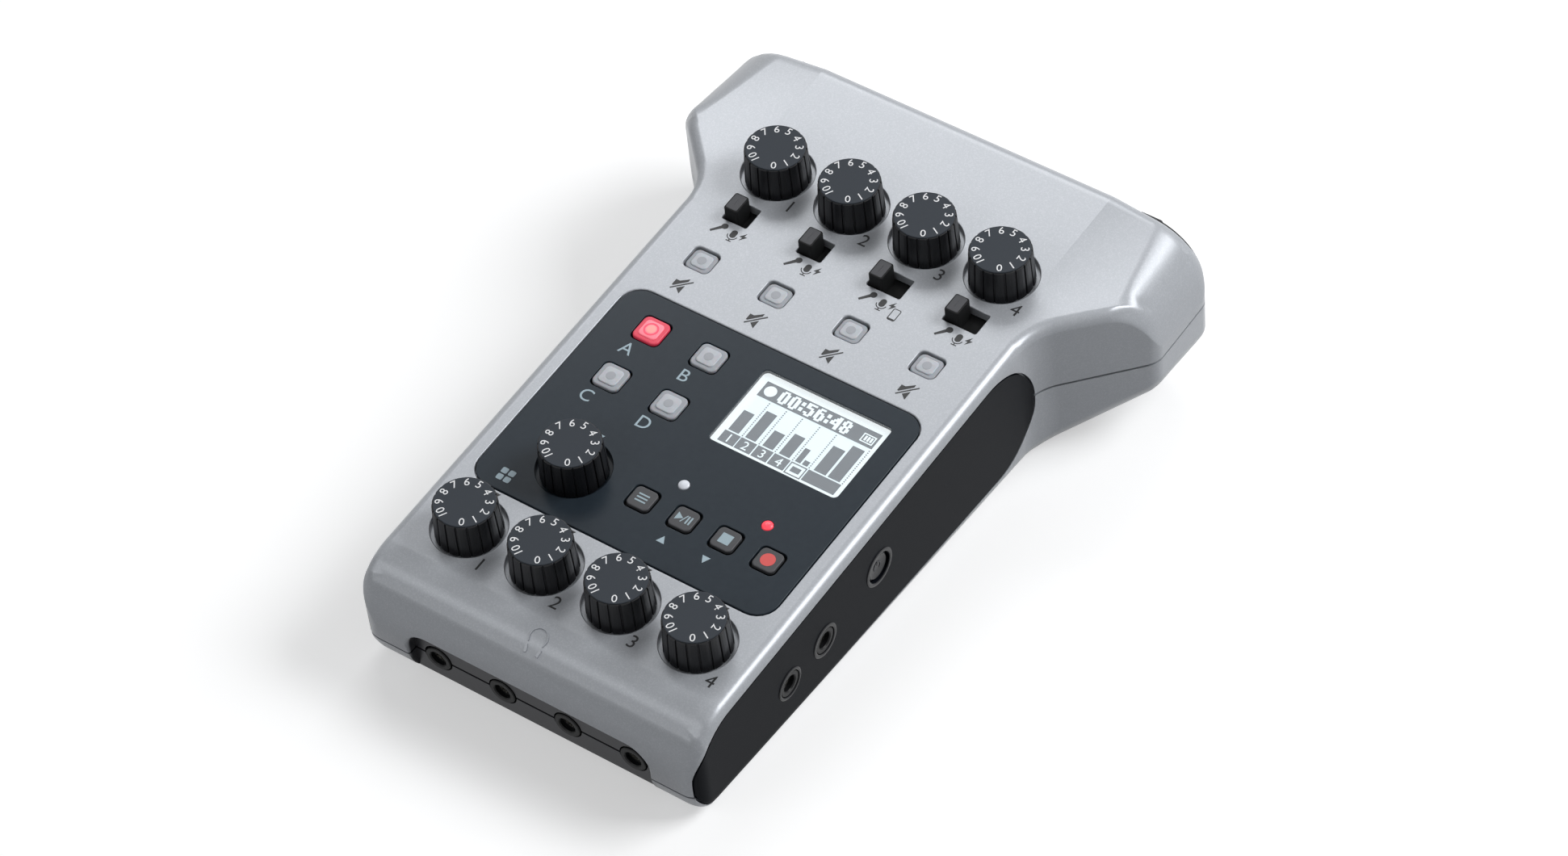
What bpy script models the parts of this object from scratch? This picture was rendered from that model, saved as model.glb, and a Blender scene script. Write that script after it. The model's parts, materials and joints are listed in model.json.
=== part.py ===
"""Portable four-channel podcast recorder, as separate pieces at real size.

Lengths are metres. The pieces are modelled in the deck frame: X to the right,
Y towards the microphone sockets, Z out of the flat control deck, whose surface
is Z = 0. The deck frame is tilted on the base frame, which lies on the flat
underside, so that the finished recorder stands level with its deck sloping
up to the back.
"""
import math

import bmesh
import bpy
from mathutils import Matrix, Vector
from mathutils.geometry import delaunay_2d_cdt

# Clearances and overruns
SEAT_GAP = 0.0003
RUN_GAP = 0.00025
SEAM_GAP = 0.0002
OVERRUN = 0.006
CLIP_SKIN = 0.0005
CELL_MARGIN = 0.0008
SMOOTH_ANGLE = math.radians(32)

# Casing: plan outline
BODY_HALF_WIDTH = 0.0392
HEAD_HALF_WIDTH = 0.0562
FRONT_REACH = 0.0713
BACK_REACH = 0.0833
FLARE_START = 0.0445
FLARE_END = 0.0625
FRONT_CORNER_RADIUS = 0.0042
WAIST_RADIUS = 0.012
WING_CORNER_RADIUS = 0.005
BACK_CORNER_RADIUS = 0.0042
CORNER_STEPS = 3

# Casing: top and underside
TILT = math.radians(5.93)
DEPTH_AT_ORIGIN = 0.0316
SEAM_DEPTH = 0.0178
WALL = 0.002
TOP_EDGE_RADIUS = 0.0024
LOW_EDGE_RADIUS = 0.0038
INNER_EDGE_RADIUS = 0.0006
TOP_FRONT_RADIUS = 0.0110
LOW_FRONT_RADIUS = 0.0055
CREASE_X = 0.0342
WING_SLOPE = math.tan(math.radians(8.0))
WING_SLOPE_START = 0.050
WING_ROUND_FLANK_REACH = 0.0052
WING_ROUND_BACK_REACH = 0.0122
WING_ROUND_OVERHANG = 0.0002
WING_ROUND_DEPTH = 0.014
WING_UNDER_RISE = 0.01122
EDGE_STEPS = 2
ROUND_STEPS = 3

# Knobs and the wells they stand in
KNOB_PITCH = 0.0176
GAIN_ROW_Y = 0.0538
PHONES_ROW_Y = -0.0504
PAD_KNOB_X = -0.0176
KNOB_TOP_HEIGHT = 0.0075
KNOB_TOP_RADIUS = 0.0062
KNOB_BASE_RADIUS = 0.0067
KNOB_EDGE = 0.0004
KNOB_GROOVE = 0.00035
KNOB_LOBES = 18
LOBE_SHARES = (0.0, 0.14, 0.86)
WELL_RADIUS = 0.0075
WELL_DEPTH = 0.0012
WELL_SEGMENTS = 24
STEM_RADIUS = 0.0016
STEM_END_DEPTH = 0.0085
BUSH_RADIUS = 0.0034
BUSH_TOP_DEPTH = 0.0024
POT_SIDE = 0.010
POT_TOP_DEPTH = 0.0048
STEM_SEGMENTS = 10

# Input selector switches
SWITCH_ROW_Y = 0.0410
SLOT_HEIGHT = 0.0054
SLOT_TWO_WAY = 0.0057
SLOT_THREE_WAY = 0.0077
CAP_WIDTH = 0.0032
CAP_LENGTH = 0.0046
CAP_HEIGHT = 0.0030
CAP_EDGE = 0.0004
CAP_END_GAP = 0.00025
DUST_PLATE_THICKNESS = 0.0008
DUST_PLATE_LENGTH = 0.0068
CAP_STEM = 0.0026
SWITCH_BODY_LENGTH = 0.0104
SWITCH_BODY_WIDTH = 0.0052
SWITCH_BODY_TOP_DEPTH = 0.0062

# Mute buttons
MUTE_ROW_Y = 0.0271
MUTE_HOLE_WIDTH = 0.0061
MUTE_HOLE_LENGTH = 0.0058
MUTE_TOP = -0.0003
KEY_CORNER = 0.0013
KEY_CORNER_STEPS = 2
KEY_EDGE = 0.0003
KEY_FLANGE = 0.0009
KEY_FLANGE_THICKNESS = 0.0008
KEY_STEM = 0.0026
KEY_STEM_CORNER = 0.0005
KEY_TRAVEL = 0.0004
KEY_REST_GAP = 0.0007
TACT_SIDE = 0.0046
TACT_HEIGHT = 0.0024

# Control panel, pads, transport keys and lamps
PANEL_WIDTH = 0.0690
PANEL_LENGTH = 0.0555
PANEL_Y = -0.01255
PANEL_BACK = PANEL_Y + PANEL_LENGTH / 2
PANEL_FRONT = PANEL_Y - PANEL_LENGTH / 2
PANEL_CORNER = 0.0045
PANEL_THICKNESS = 0.0010
PANEL_EDGE_GAP = 0.0003
PANEL_LEDGE = 0.0030
PAD_PITCH = 0.0136
PAD_ROW_SETBACK = 0.0150
PAD_ROW_Y = PANEL_BACK - PAD_ROW_SETBACK
PAD_HOLE = 0.0066
PAD_TOP = 0.0006
PAD_CLEARANCE = 0.0003
KEY_ROW_X = 0.0125
KEY_ROW_SETBACK = 0.0122
KEY_ROW_Y = PANEL_FRONT + KEY_ROW_SETBACK
KEY_PITCH = 0.0096
KEY_HOLE = 0.0059
KEY_CLEARANCE = 0.00045
KEY_TOP = 0.0003
LAMP_ROW_SETBACK = 0.0191
LAMP_ROW_Y = PANEL_FRONT + LAMP_ROW_SETBACK
LAMP_RADIUS = 0.00115
LAMP_LED_HEIGHT = 0.0008
LAMP_SEGMENTS = 12
CUP_WALL = 0.0008
PAD_KNOB_SETBACK = 0.0118
PAD_KNOB_Y = PANEL_FRONT + PAD_KNOB_SETBACK

# Display
LCD_X = 0.01485
LCD_SETBACK = 0.0146
LCD_Y = PANEL_BACK - LCD_SETBACK
LCD_WIDTH = 0.0293
LCD_LENGTH = 0.0197
LCD_CORNER = 0.0010
LCD_WINDOW_THICKNESS = 0.0010
LCD_FRAME_WIDTH = 0.0326
LCD_FRAME_LENGTH = 0.0222
LCD_FRAME_THICKNESS = 0.0038
LCD_LEG = 0.0018

# Circuit boards
BOARD_TOP_DEPTH = 0.0110
BOARD_THICKNESS = 0.0014
BOARD_HALF_WIDTH = 0.0335
BOARD_SPLIT = 0.0004
INPUT_BOARD_BACK = 0.0598
MAIN_BOARD_BACK = 0.0210
MAIN_BOARD_FRONT = -0.0432
PHONES_BOARD_FRONT = -0.0634
PHONES_BOARD_STEP_Y = -0.0560
PHONES_BOARD_NOSE_HALF = 0.0280
POST_RADIUS = 0.0018
POST_SEGMENTS = 8
POST_ROW_X = 0.0310
POST_ROWS = (-0.0400, 0.0180, 0.0340)
MIDDLE_POST_Y = 0.0565

# Casing screws
SCREW_FRONT_X = 0.0322
SCREW_FRONT_Y = -0.0598
SCREW_BACK_X = 0.0425
SCREW_BACK_Y = 0.0562
BOSS_RADIUS = 0.0027
SCREW_CORE_RADIUS = 0.0011
SCREW_PILOT_LENGTH = 0.0080
SCREW_SHANK_RADIUS = 0.0016
SCREW_HEAD_RADIUS = 0.0028
SCREW_SEAT_DEPTH = 0.0225
SCREW_SEGMENTS = 12

# Side panels and what comes through them
SIDE_PANEL_THICKNESS = 0.0009
SIDE_PANEL_EDGE_GAP = 0.0003
SIDE_PANEL_WRAP = 0.0020
SIDE_FRONT = -0.0702
SIDE_BACK = 0.0432
SIDE_TOP = -0.0028
SIDE_LOW_FRONT = -0.0222
SIDE_LOW_BACK = -0.0318
SIDE_FRONT_TOP_RADIUS = 0.0112
SIDE_BACK_TOP_RADIUS = 0.0150
SIDE_BACK_LOW_RADIUS = 0.0120
SIDE_FRONT_LOW_RADIUS = 0.0062
SIDE_CORNER_STEPS = 5
POWER_Y = -0.0104
POWER_DEPTH = 0.0134
POWER_RADIUS = 0.0031
POWER_EDGE = 0.0003
POWER_LENGTH = 0.0030
POWER_STEM_RADIUS = 0.0014
POWER_STEM_LENGTH = 0.0010
POWER_TRAVEL = 0.0004
POWER_SWITCH_WIDTH = 0.0056
POWER_SWITCH_DEPTH = 0.0030
SMARTPHONE_JACK_Y = -0.0291
LINE_JACK_Y = -0.0409
SIDE_JACK_DEPTH = 0.0152
JACK_RADIUS = 0.0029
JACK_BORE_RADIUS = 0.00178
JACK_BORE_LENGTH = 0.0110
JACK_WIDTH = 0.0100
JACK_LENGTH = 0.0122
JACK_HALF_HEIGHT = 0.0030
JACK_SEGMENTS = 16
USB_Y = (0.0100, 0.0270)
USB_DEPTH = 0.0144
USB_WIDTH = 0.0090
USB_HEIGHT = 0.0033
USB_LENGTH = 0.0076
USB_WALL = 0.0004
USB_TONGUE_WIDTH = 0.0066
USB_TONGUE_HEIGHT = 0.0008
USB_CAVITY = 0.0060
PORT_CORNER_SHARE = 1 / 3
PORT_INNER_CORNER_SHARE = 1 / 4
CARD_Y = -0.0285
CARD_SLOT_WIDTH = 0.0246
CARD_SLOT_HEIGHT = 0.0023
CARD_BODY_WIDTH = 0.0270
CARD_BODY_LENGTH = 0.0260
CARD_BODY_HEIGHT = 0.0030
CARD_DEPTH = 0.0143
CARD_SLOT_LENGTH = 0.0220

# Front scoop with the four headphone jacks
PHONES_JACK_PITCH = 0.0151
SCOOP_HALF_WIDTH = 0.0280
SCOOP_TOP_DEPTH = 0.0104
SCOOP_CORNER = 0.0050
SCOOP_DEPTH = 0.0024
SCOOP_BACKING = 0.0024
SCOOP_BACKING_MARGIN = 0.0018
JACK_PROUD = 0.0002

# Microphone sockets
XLR_SIDE_MARGIN = 0.0022
XLR_SPACING = 0.0026
XLR_PITCH = (HEAD_HALF_WIDTH - XLR_SIDE_MARGIN) / 2
XLR_DEPTH = 0.0180
XLR_FLANGE_STEP = 0.0010
XLR_FLANGE_RADIUS = (XLR_PITCH - XLR_SPACING) / 2
XLR_BODY_RADIUS = XLR_FLANGE_RADIUS - XLR_FLANGE_STEP
XLR_PROUD = 0.0030
XLR_FLANGE_BACK = 0.0024
XLR_LENGTH = 0.0222
XLR_GROOVE_WALL = 0.0014
XLR_GROOVE_WIDTH = 0.0021
XLR_GROOVE_OUTER = XLR_BODY_RADIUS - XLR_GROOVE_WALL
XLR_GROOVE_INNER = XLR_GROOVE_OUTER - XLR_GROOVE_WIDTH
XLR_GROOVE_DEPTH = 0.0130
XLR_FACE_STEP = 0.0008
XLR_PIN_CIRCLE_SHARE = 40 / 77
XLR_PIN_SHARE = 13 / 77
XLR_PIN_CIRCLE = XLR_GROOVE_INNER * XLR_PIN_CIRCLE_SHARE
XLR_PIN_RADIUS = XLR_GROOVE_INNER * XLR_PIN_SHARE
XLR_PIN_DEPTH = 0.0100
XLR_SEGMENTS = 22

# Battery bay, in the base frame
BATTERY_RADIUS = 0.0071
BATTERY_LENGTH = 0.0500
BATTERY_NIPPLE_RADIUS = 0.0027
BATTERY_NIPPLE = 0.0010
BATTERY_SEGMENTS = 16
BAY_Y = 0.0103
BAY_PITCH = 0.0147
BAY_END_ROOM = 0.0028
BAY_WALL = 0.0012
COVER_THICKNESS = 0.0016
COVER_LAP = 0.0024
COVER_CORNER = 0.0020
COVER_LIP = 0.0010
COVER_LIP_SHARE = 1 / 3
CONTACT_THICKNESS = 0.0004
CONTACT_HEIGHT = 0.0110
CONTACT_BUMP_RADIUS = 0.0025
CONTACT_BUMP = 0.0009

# Rubber feet
FOOT_RADIUS = 0.0040
FOOT_THICKNESS = 0.0014
FOOT_PROUD = 0.0008
FOOT_X = 0.0270
FOOT_FRONT_Y = -0.0500
FOOT_BACK_Y = 0.0710
FOOT_SEGMENTS = 16

BOARD_LOW = -BOARD_TOP_DEPTH - BOARD_THICKNESS
KNOB_LOW = SEAT_GAP - WELL_DEPTH
COLUMN_X = [KNOB_PITCH * (i - 1.5) for i in range(4)]
DEPTH_GRADIENT = math.tan(TILT)


# Mesh helpers

def clear_scene():
    """Start from an empty scene."""
    for obj in list(bpy.data.objects):
        bpy.data.objects.remove(obj, do_unlink=True)


def frame_empty(name, parent=None):
    empty = bpy.data.objects.new(name, None)
    bpy.context.scene.collection.objects.link(empty)
    empty.parent = parent
    return empty


def solid(name, mesh, frame, place=(0.0, 0.0, 0.0)):
    """An object holding the mesh, placed in one of the two frames."""
    obj = bpy.data.objects.new(name, mesh)
    bpy.context.scene.collection.objects.link(obj)
    obj.parent = frame
    obj.location = place
    return obj


def closed_mesh(name, verts, faces):
    """A mesh with its faces turned outwards."""
    bm = bmesh.new()
    corners = [bm.verts.new(v) for v in verts]
    for face in faces:
        bm.faces.new([corners[i] for i in face])
    bmesh.ops.recalc_face_normals(bm, faces=bm.faces)
    mesh = bpy.data.meshes.new(name)
    bm.to_mesh(mesh)
    bm.free()
    return mesh


def ring_mesh(name, rings):
    """A closed solid through rings of equal point counts, low to high."""
    count = len(rings[0])
    verts = [v for ring in rings for v in ring]
    faces = [list(range(count))[::-1]]
    for k in range(len(rings) - 1):
        low, high = k * count, (k + 1) * count
        for i in range(count):
            j = (i + 1) % count
            faces.append([low + i, low + j, high + j, high + i])
    faces.append([(len(rings) - 1) * count + i for i in range(count)])
    return closed_mesh(name, verts, faces)


def circle(radius, height, segments):
    turns = [2 * math.pi * i / segments for i in range(segments)]
    return [Vector((radius * math.cos(a), radius * math.sin(a), height)) for a in turns]


def turned_mesh(name, profile, segments):
    """A solid of revolution about Z; the profile runs from low to high."""
    return ring_mesh(name, [circle(r, z, segments) for r, z in profile])


def fillet(corners, steps):
    """Round the corners (x, y, radius) of a counter-clockwise outline.

    Returns (point, outward normal) pairs, arcs sampled in the given steps.
    """
    out = []
    count = len(corners)
    for i, (x, y, radius) in enumerate(corners):
        here = Vector((x, y))
        before = (here - Vector(corners[i - 1][:2])).normalized()
        after = (Vector(corners[(i + 1) % count][:2]) - here).normalized()
        turn = math.atan2(before.cross(after), before.dot(after))
        side = 1.0 if turn > 0 else -1.0
        start = math.atan2(-before.x, before.y)
        normal = Vector((before.y, -before.x))
        centre = here - before * radius * math.tan(abs(turn) / 2) - normal * radius * side
        for k in range(steps + 1):
            angle = start + turn * k / steps
            normal = Vector((math.cos(angle), math.sin(angle)))
            out.append((centre + normal * radius * side, normal))
    return out


def rounded_rectangle(width, length, radius, steps):
    w, h = width / 2, length / 2
    corners = [(w, -h, radius), (w, h, radius), (-w, h, radius), (-w, -h, radius)]
    return [p for p, _ in fillet(corners, steps)]


def prism(name, outline, low, high, frame, turn=None):
    """Extrude a plane outline from low to high along Z, or turned elsewhere."""
    rings = [[Vector((p[0], p[1], z)) for p in outline] for z in (low, high)]
    mesh = ring_mesh(name, rings)
    if turn:
        mesh.transform(turn)
    return solid(name, mesh, frame)


def box(name, low, high, frame):
    outline = [(low[0], low[1]), (high[0], low[1]), (high[0], high[1]), (low[0], high[1])]
    return prism(name, outline, low[2], high[2], frame)


def peg(name, radius, low, high, x, y, segments, frame):
    """A round peg or a round cutter standing along Z."""
    obj = solid(name, turned_mesh(name, [(radius, low), (radius, high)], segments), frame)
    obj.location = (x, y, 0.0)
    return obj


def stepped_key(name, sections, frame, place):
    """A solid through rounded rectangles (width, length, corner, height)."""
    rings = []
    for width, length, corner, height in sections:
        outline = rounded_rectangle(width, length, corner, KEY_CORNER_STEPS)
        rings.append([Vector((p.x, p.y, height)) for p in outline])
    return solid(name, ring_mesh(name, rings), frame, place)


def combine(target, other, operation):
    """Join, cut or clip the target with another solid, which is used up."""
    step = target.modifiers.new(operation, "BOOLEAN")
    step.operation = operation
    step.solver = "EXACT"
    step.object = other
    bpy.context.view_layer.update()
    graph = bpy.context.evaluated_depsgraph_get()
    mesh = bpy.data.meshes.new_from_object(target.evaluated_get(graph))
    target.modifiers.remove(step)
    target.data = mesh
    bpy.data.objects.remove(other, do_unlink=True)
    return target


def cut(target, *others):
    for other in others:
        combine(target, other, "DIFFERENCE")
    return target


def join(target, *others):
    for other in others:
        combine(target, other, "UNION")
    return target


def clip(target, other):
    return combine(target, other, "INTERSECT")


# Casing form

def plan_corners():
    """Corners of the casing's plan, counter-clockwise from the front right."""
    right = [
        (BODY_HALF_WIDTH, -FRONT_REACH, FRONT_CORNER_RADIUS),
        (BODY_HALF_WIDTH, FLARE_START, WAIST_RADIUS),
        (HEAD_HALF_WIDTH, FLARE_END, WING_CORNER_RADIUS),
        (HEAD_HALF_WIDTH, BACK_REACH, BACK_CORNER_RADIUS),
    ]
    return right + [(-x, y, r) for x, y, r in reversed(right)]


def break_lines():
    """Where straight runs of the outline get points, so that the top can bend."""
    wing = [wing_line_x(k / ROUND_STEPS, BACK_REACH) for k in range(ROUND_STEPS)]
    xs = [CREASE_X] + wing
    front = [TOP_FRONT_RADIUS * math.sin(math.radians(90 * k / ROUND_STEPS))
             for k in range(ROUND_STEPS)]
    ys = [-(FRONT_REACH - TOP_FRONT_RADIUS) - y for y in front]
    return xs + [-x for x in xs], ys


def plan_outline():
    """The casing's plan as (point, outward normal) pairs, with break points."""
    pairs = fillet(plan_corners(), CORNER_STEPS)
    xs, ys = break_lines()
    out = []
    for i, (point, normal) in enumerate(pairs):
        out.append((point, normal))
        ahead = pairs[(i + 1) % len(pairs)][0]
        run = ahead - point
        if (i + 1) % (CORNER_STEPS + 1):
            continue
        shares = [(x - point.x) / run.x for x in xs if abs(run.x) > CELL_MARGIN]
        shares += [(y - point.y) / run.y for y in ys if abs(run.y) > CELL_MARGIN]
        margin = CELL_MARGIN / run.length
        inner = sorted(s for s in shares if margin < s < 1 - margin)
        kept = [s for k, s in enumerate(inner) if k == 0 or s - inner[k - 1] > margin]
        out.extend((point + run * s, normal) for s in kept)
    return out


def quarter_drop(u):
    """Fall of a unit quarter circle at a share u of its radius."""
    u = min(max(u, 0.0), 1.0)
    return 1.0 - math.sqrt(1.0 - u * u)


def wing_share(y):
    """How far back a point lies on the head, 0 at the flank and 1 at the back."""
    return min(max((y - WING_SLOPE_START) / (BACK_REACH - WING_SLOPE_START), 0.0), 1.0)


def wing_round_start(y):
    gain = WING_ROUND_BACK_REACH - WING_ROUND_FLANK_REACH
    return HEAD_HALF_WIDTH - WING_ROUND_FLANK_REACH - gain * wing_share(y)


def wing_line_x(share, y, inset=0.0):
    """X of a line along the wing where its rounding has turned by a share."""
    start = wing_round_start(y)
    reach = HEAD_HALF_WIDTH + WING_ROUND_OVERHANG - inset - start
    return start + reach * math.sin(math.radians(90 * share))


def top_height(x, y, inset=0.0):
    """Height of the casing's top, or of a surface the inset below it."""
    x = abs(x)
    radius = TOP_FRONT_RADIUS - inset
    front = radius * quarter_drop((-y - FRONT_REACH + TOP_FRONT_RADIUS) / radius)
    slope = WING_SLOPE * wing_share(y) * max(x - CREASE_X, 0.0)
    start = wing_round_start(y)
    reach = HEAD_HALF_WIDTH + WING_ROUND_OVERHANG - inset - start
    wing = (WING_ROUND_DEPTH - inset) * quarter_drop((x - start) / reach)
    return -inset - front - slope - wing


def low_height(x, y, inset=0.0):
    """Height of the casing's underside, or of a surface the inset above it."""
    radius = LOW_FRONT_RADIUS - inset
    front = radius * quarter_drop((-y - FRONT_REACH + LOW_FRONT_RADIUS) / radius)
    slope = WING_UNDER_RISE / (HEAD_HALF_WIDTH - BODY_HALF_WIDTH)
    wing = slope * max(abs(x) - BODY_HALF_WIDTH, 0.0)
    return inset - DEPTH_AT_ORIGIN - DEPTH_GRADIENT * y + front + wing


def is_inside(outline, point):
    """Even-odd test of a point in a closed plane outline."""
    inside = False
    for i, a in enumerate(outline):
        b = outline[i - 1]
        if (a.y > point.y) != (b.y > point.y):
            if point.x < a.x + (b.x - a.x) * (point.y - a.y) / (b.y - a.y):
                inside = not inside
    return inside


def top_lines(inset):
    """Lines inside the plan along which the top surface bends."""
    lines = []
    radius = TOP_FRONT_RADIUS - inset
    half = BODY_HALF_WIDTH - inset - 2 * TOP_EDGE_RADIUS
    for k in range(ROUND_STEPS):
        y = -(FRONT_REACH - TOP_FRONT_RADIUS) - radius * math.sin(math.radians(90 * k / ROUND_STEPS))
        lines.append([Vector((-half, y)), Vector((half, y))])
    rows = [WING_SLOPE_START + (BACK_REACH - WING_SLOPE_START) * k / ROUND_STEPS
            for k in range(ROUND_STEPS + 1)]
    for side in (-1, 1):
        lines.append([Vector((side * CREASE_X, y)) for y in rows])
        for k in range(ROUND_STEPS):
            share = k / ROUND_STEPS
            lines.append([Vector((side * wing_line_x(share, y, inset), y)) for y in rows])
    return lines


def low_lines(inset):
    """Lines inside the plan along which the underside bends."""
    radius = LOW_FRONT_RADIUS - inset
    half = BODY_HALF_WIDTH - inset - 2 * LOW_EDGE_RADIUS
    lines = []
    for k in range(ROUND_STEPS - 1):
        y = -(FRONT_REACH - LOW_FRONT_RADIUS) - radius * math.sin(math.radians(90 * k / ROUND_STEPS))
        lines.append([Vector((-half, y)), Vector((half, y))])
    ys = (FLARE_START, BACK_REACH - inset - 2 * LOW_EDGE_RADIUS)
    for side in (-1, 1):
        lines.append([Vector((side * BODY_HALF_WIDTH, y)) for y in ys])
    return lines


def cap_faces(ring, lines, margin_ring, height):
    """Triangles that fill a ring through the kept points of the lines."""
    points = [Vector((p.x, p.y)) for p in ring]
    count = len(points)
    edges = []
    for line in lines:
        last = None
        for point in line:
            if not is_inside(margin_ring, point):
                last = None
                continue
            points.append(point)
            if last is not None:
                edges.append((last, len(points) - 1))
            last = len(points) - 1
    result = delaunay_2d_cdt(points, edges, [list(range(count))], 1, 0.0)
    verts, faces, sources = result[0], result[2], result[3]
    origin = [s[0] for s in sources]
    extra = [Vector((v.x, v.y, height(v.x, v.y))) for v, o in zip(verts, origin) if o >= count]
    extra_index = {}
    for i, o in enumerate(origin):
        if o >= count:
            extra_index[i] = count + len(extra_index)
    index = [extra_index.get(i, origin[i]) for i in range(len(verts))]
    return extra, [[index[i] for i in face] for face in faces]


def casing_mesh(name, inset):
    """The casing's outer form as one closed solid, or that form inset."""
    outline = plan_outline()
    top_radius = max(TOP_EDGE_RADIUS - inset, INNER_EDGE_RADIUS)
    low_radius = max(LOW_EDGE_RADIUS - inset, INNER_EDGE_RADIUS)

    def ring(radius, share, height, sign):
        angle = math.radians(90 * share)
        back_off = inset + radius * (1 - math.cos(angle))
        fall = radius * (1 - math.sin(angle))
        flat = [p - n * back_off for p, n in outline]
        return [Vector((p.x, p.y, height(p.x, p.y, inset) - sign * fall)) for p in flat]

    rings = [ring(low_radius, 1 - k / EDGE_STEPS, low_height, -1) for k in range(EDGE_STEPS + 1)]
    rings += [ring(top_radius, k / EDGE_STEPS, top_height, 1) for k in range(EDGE_STEPS + 1)]
    count = len(outline)
    verts = [v for loop in rings for v in loop]
    faces = []
    for k in range(len(rings) - 1):
        low, high = k * count, (k + 1) * count
        for i in range(count):
            j = (i + 1) % count
            faces.append([low + i, low + j, high + j, high + i])
    ends = (
        (0, low_radius, low_lines(inset), low_height),
        (len(rings) - 1, top_radius, top_lines(inset), top_height),
    )
    for level, radius, lines, height in ends:
        clear = inset + radius + CELL_MARGIN
        margin = [p - n * clear for p, n in outline]
        extra, tris = cap_faces(rings[level], lines, margin, lambda x, y: height(x, y, inset))
        base = len(verts)
        verts += extra
        for tri in tris:
            faces.append([level * count + i if i < count else base + i - count for i in tri])
    return closed_mesh(name, verts, faces)


def casing(name, inset, frame):
    return solid(name, casing_mesh(name, inset), frame)


# Materials

def material(name, color, roughness, metallic=0.0, alpha=1.0, glow=0.0):
    made = bpy.data.materials.new(name)
    made.use_nodes = True
    shader = made.node_tree.nodes["Principled BSDF"]
    shader.inputs["Base Color"].default_value = (*color, 1.0)
    shader.inputs["Roughness"].default_value = roughness
    shader.inputs["Metallic"].default_value = metallic
    shader.inputs["Alpha"].default_value = alpha
    shader.inputs["Emission Color"].default_value = (*color, 1.0)
    shader.inputs["Emission Strength"].default_value = glow
    return made


def painted_silver():
    return material("painted_silver", (0.50, 0.51, 0.53), 0.36, 0.55)


def black_moulding():
    return material("black_moulding", (0.012, 0.013, 0.016), 0.42)


def knob_plastic():
    return material("knob_plastic", (0.016, 0.017, 0.020), 0.45)


def panel_plastic():
    return material("panel_plastic", (0.036, 0.048, 0.063), 0.30)


def clear_rubber():
    return material("clear_rubber", (0.36, 0.38, 0.41), 0.35)


def lit_rubber():
    return material("lit_rubber", (0.85, 0.10, 0.14), 0.35, glow=0.4)


def key_plastic():
    return material("key_plastic", (0.045, 0.046, 0.050), 0.40)


def display_glass():
    return material("display_glass", (0.80, 0.88, 0.92), 0.08, alpha=0.4)


def display_frame():
    return material("display_frame", (0.70, 0.78, 0.84), 0.30)


def white_lens():
    return material("white_lens", (0.80, 0.82, 0.86), 0.25)


def red_lens():
    return material("red_lens", (0.90, 0.08, 0.10), 0.25, glow=0.5)


def socket_black():
    return material("socket_black", (0.010, 0.010, 0.012), 0.38)


def plated_steel():
    return material("plated_steel", (0.62, 0.62, 0.60), 0.28, 1.0)


def circuit_board():
    return material("circuit_board", (0.015, 0.090, 0.035), 0.45)


def battery_sleeve():
    return material("battery_sleeve", (0.10, 0.11, 0.12), 0.35)


def foot_rubber():
    return material("foot_rubber", (0.020, 0.020, 0.021), 0.85)


def finish(obj, made):
    """Give the piece its material and smooth its round faces."""
    obj.data.materials.clear()
    obj.data.materials.append(made)
    obj.data.shade_smooth()
    obj.data.set_sharp_from_angle(angle=SMOOTH_ANGLE)
    return obj


# Casing pieces

def side_outline(gap, side):
    """The side panel's outline seen from the side, as (height, length) pairs."""
    corners = [
        (SIDE_LOW_FRONT - gap, SIDE_FRONT - gap, SIDE_FRONT_LOW_RADIUS),
        (SIDE_TOP + gap, SIDE_FRONT - gap, SIDE_FRONT_TOP_RADIUS),
        (SIDE_TOP + gap, SIDE_BACK + gap, SIDE_BACK_TOP_RADIUS),
        (SIDE_LOW_BACK - gap, SIDE_BACK + gap, SIDE_BACK_LOW_RADIUS),
    ]
    points = [p for p, _ in fillet(corners, SIDE_CORNER_STEPS)]
    return [(-side * p.x, p.y) for p in points][::side]


def side_prism(gap, side, frame):
    """The side outline pushed sideways through one wall of the casing."""
    turn = Matrix.Rotation(side * math.pi / 2, 4, "Y")
    inner = BODY_HALF_WIDTH - SIDE_PANEL_WRAP - gap
    outer = HEAD_HALF_WIDTH + OVERRUN
    return prism("side_prism", side_outline(gap, side), inner, outer, frame, turn)


def side_pocket(side, frame):
    pocket = side_prism(SIDE_PANEL_EDGE_GAP, side, frame)
    return cut(pocket, casing("core", SIDE_PANEL_THICKNESS + SEAT_GAP, frame))


def well_cutters(x, y, frame):
    """A knob's round well in the deck and the hole for its stem and bush."""
    well = peg("well", WELL_RADIUS, -WELL_DEPTH, OVERRUN, x, y, WELL_SEGMENTS, frame)
    hole = BUSH_RADIUS + SEAT_GAP
    through = peg("bush_hole", hole, -OVERRUN, OVERRUN, x, y, STEM_SEGMENTS, frame)
    return [well, through]


def switch_slots():
    """Left end and right end of each input selector's slot."""
    widths = [SLOT_TWO_WAY, SLOT_TWO_WAY, SLOT_THREE_WAY, SLOT_THREE_WAY]
    return [(x - w / 2, x + w / 2) for x, w in zip(COLUMN_X, widths)]


def slot_cutters(frame):
    low_y = SWITCH_ROW_Y - SLOT_HEIGHT / 2
    high_y = SWITCH_ROW_Y + SLOT_HEIGHT / 2
    return [box("slot", (a, low_y, -OVERRUN), (b, high_y, OVERRUN), frame)
            for a, b in switch_slots()]


def mute_cutters(frame):
    outline = rounded_rectangle(MUTE_HOLE_WIDTH, MUTE_HOLE_LENGTH, KEY_CORNER, KEY_CORNER_STEPS)
    return [prism("mute_hole", [(x + p.x, MUTE_ROW_Y + p.y) for p in outline],
                  -OVERRUN, OVERRUN, frame) for x in COLUMN_X]


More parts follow.
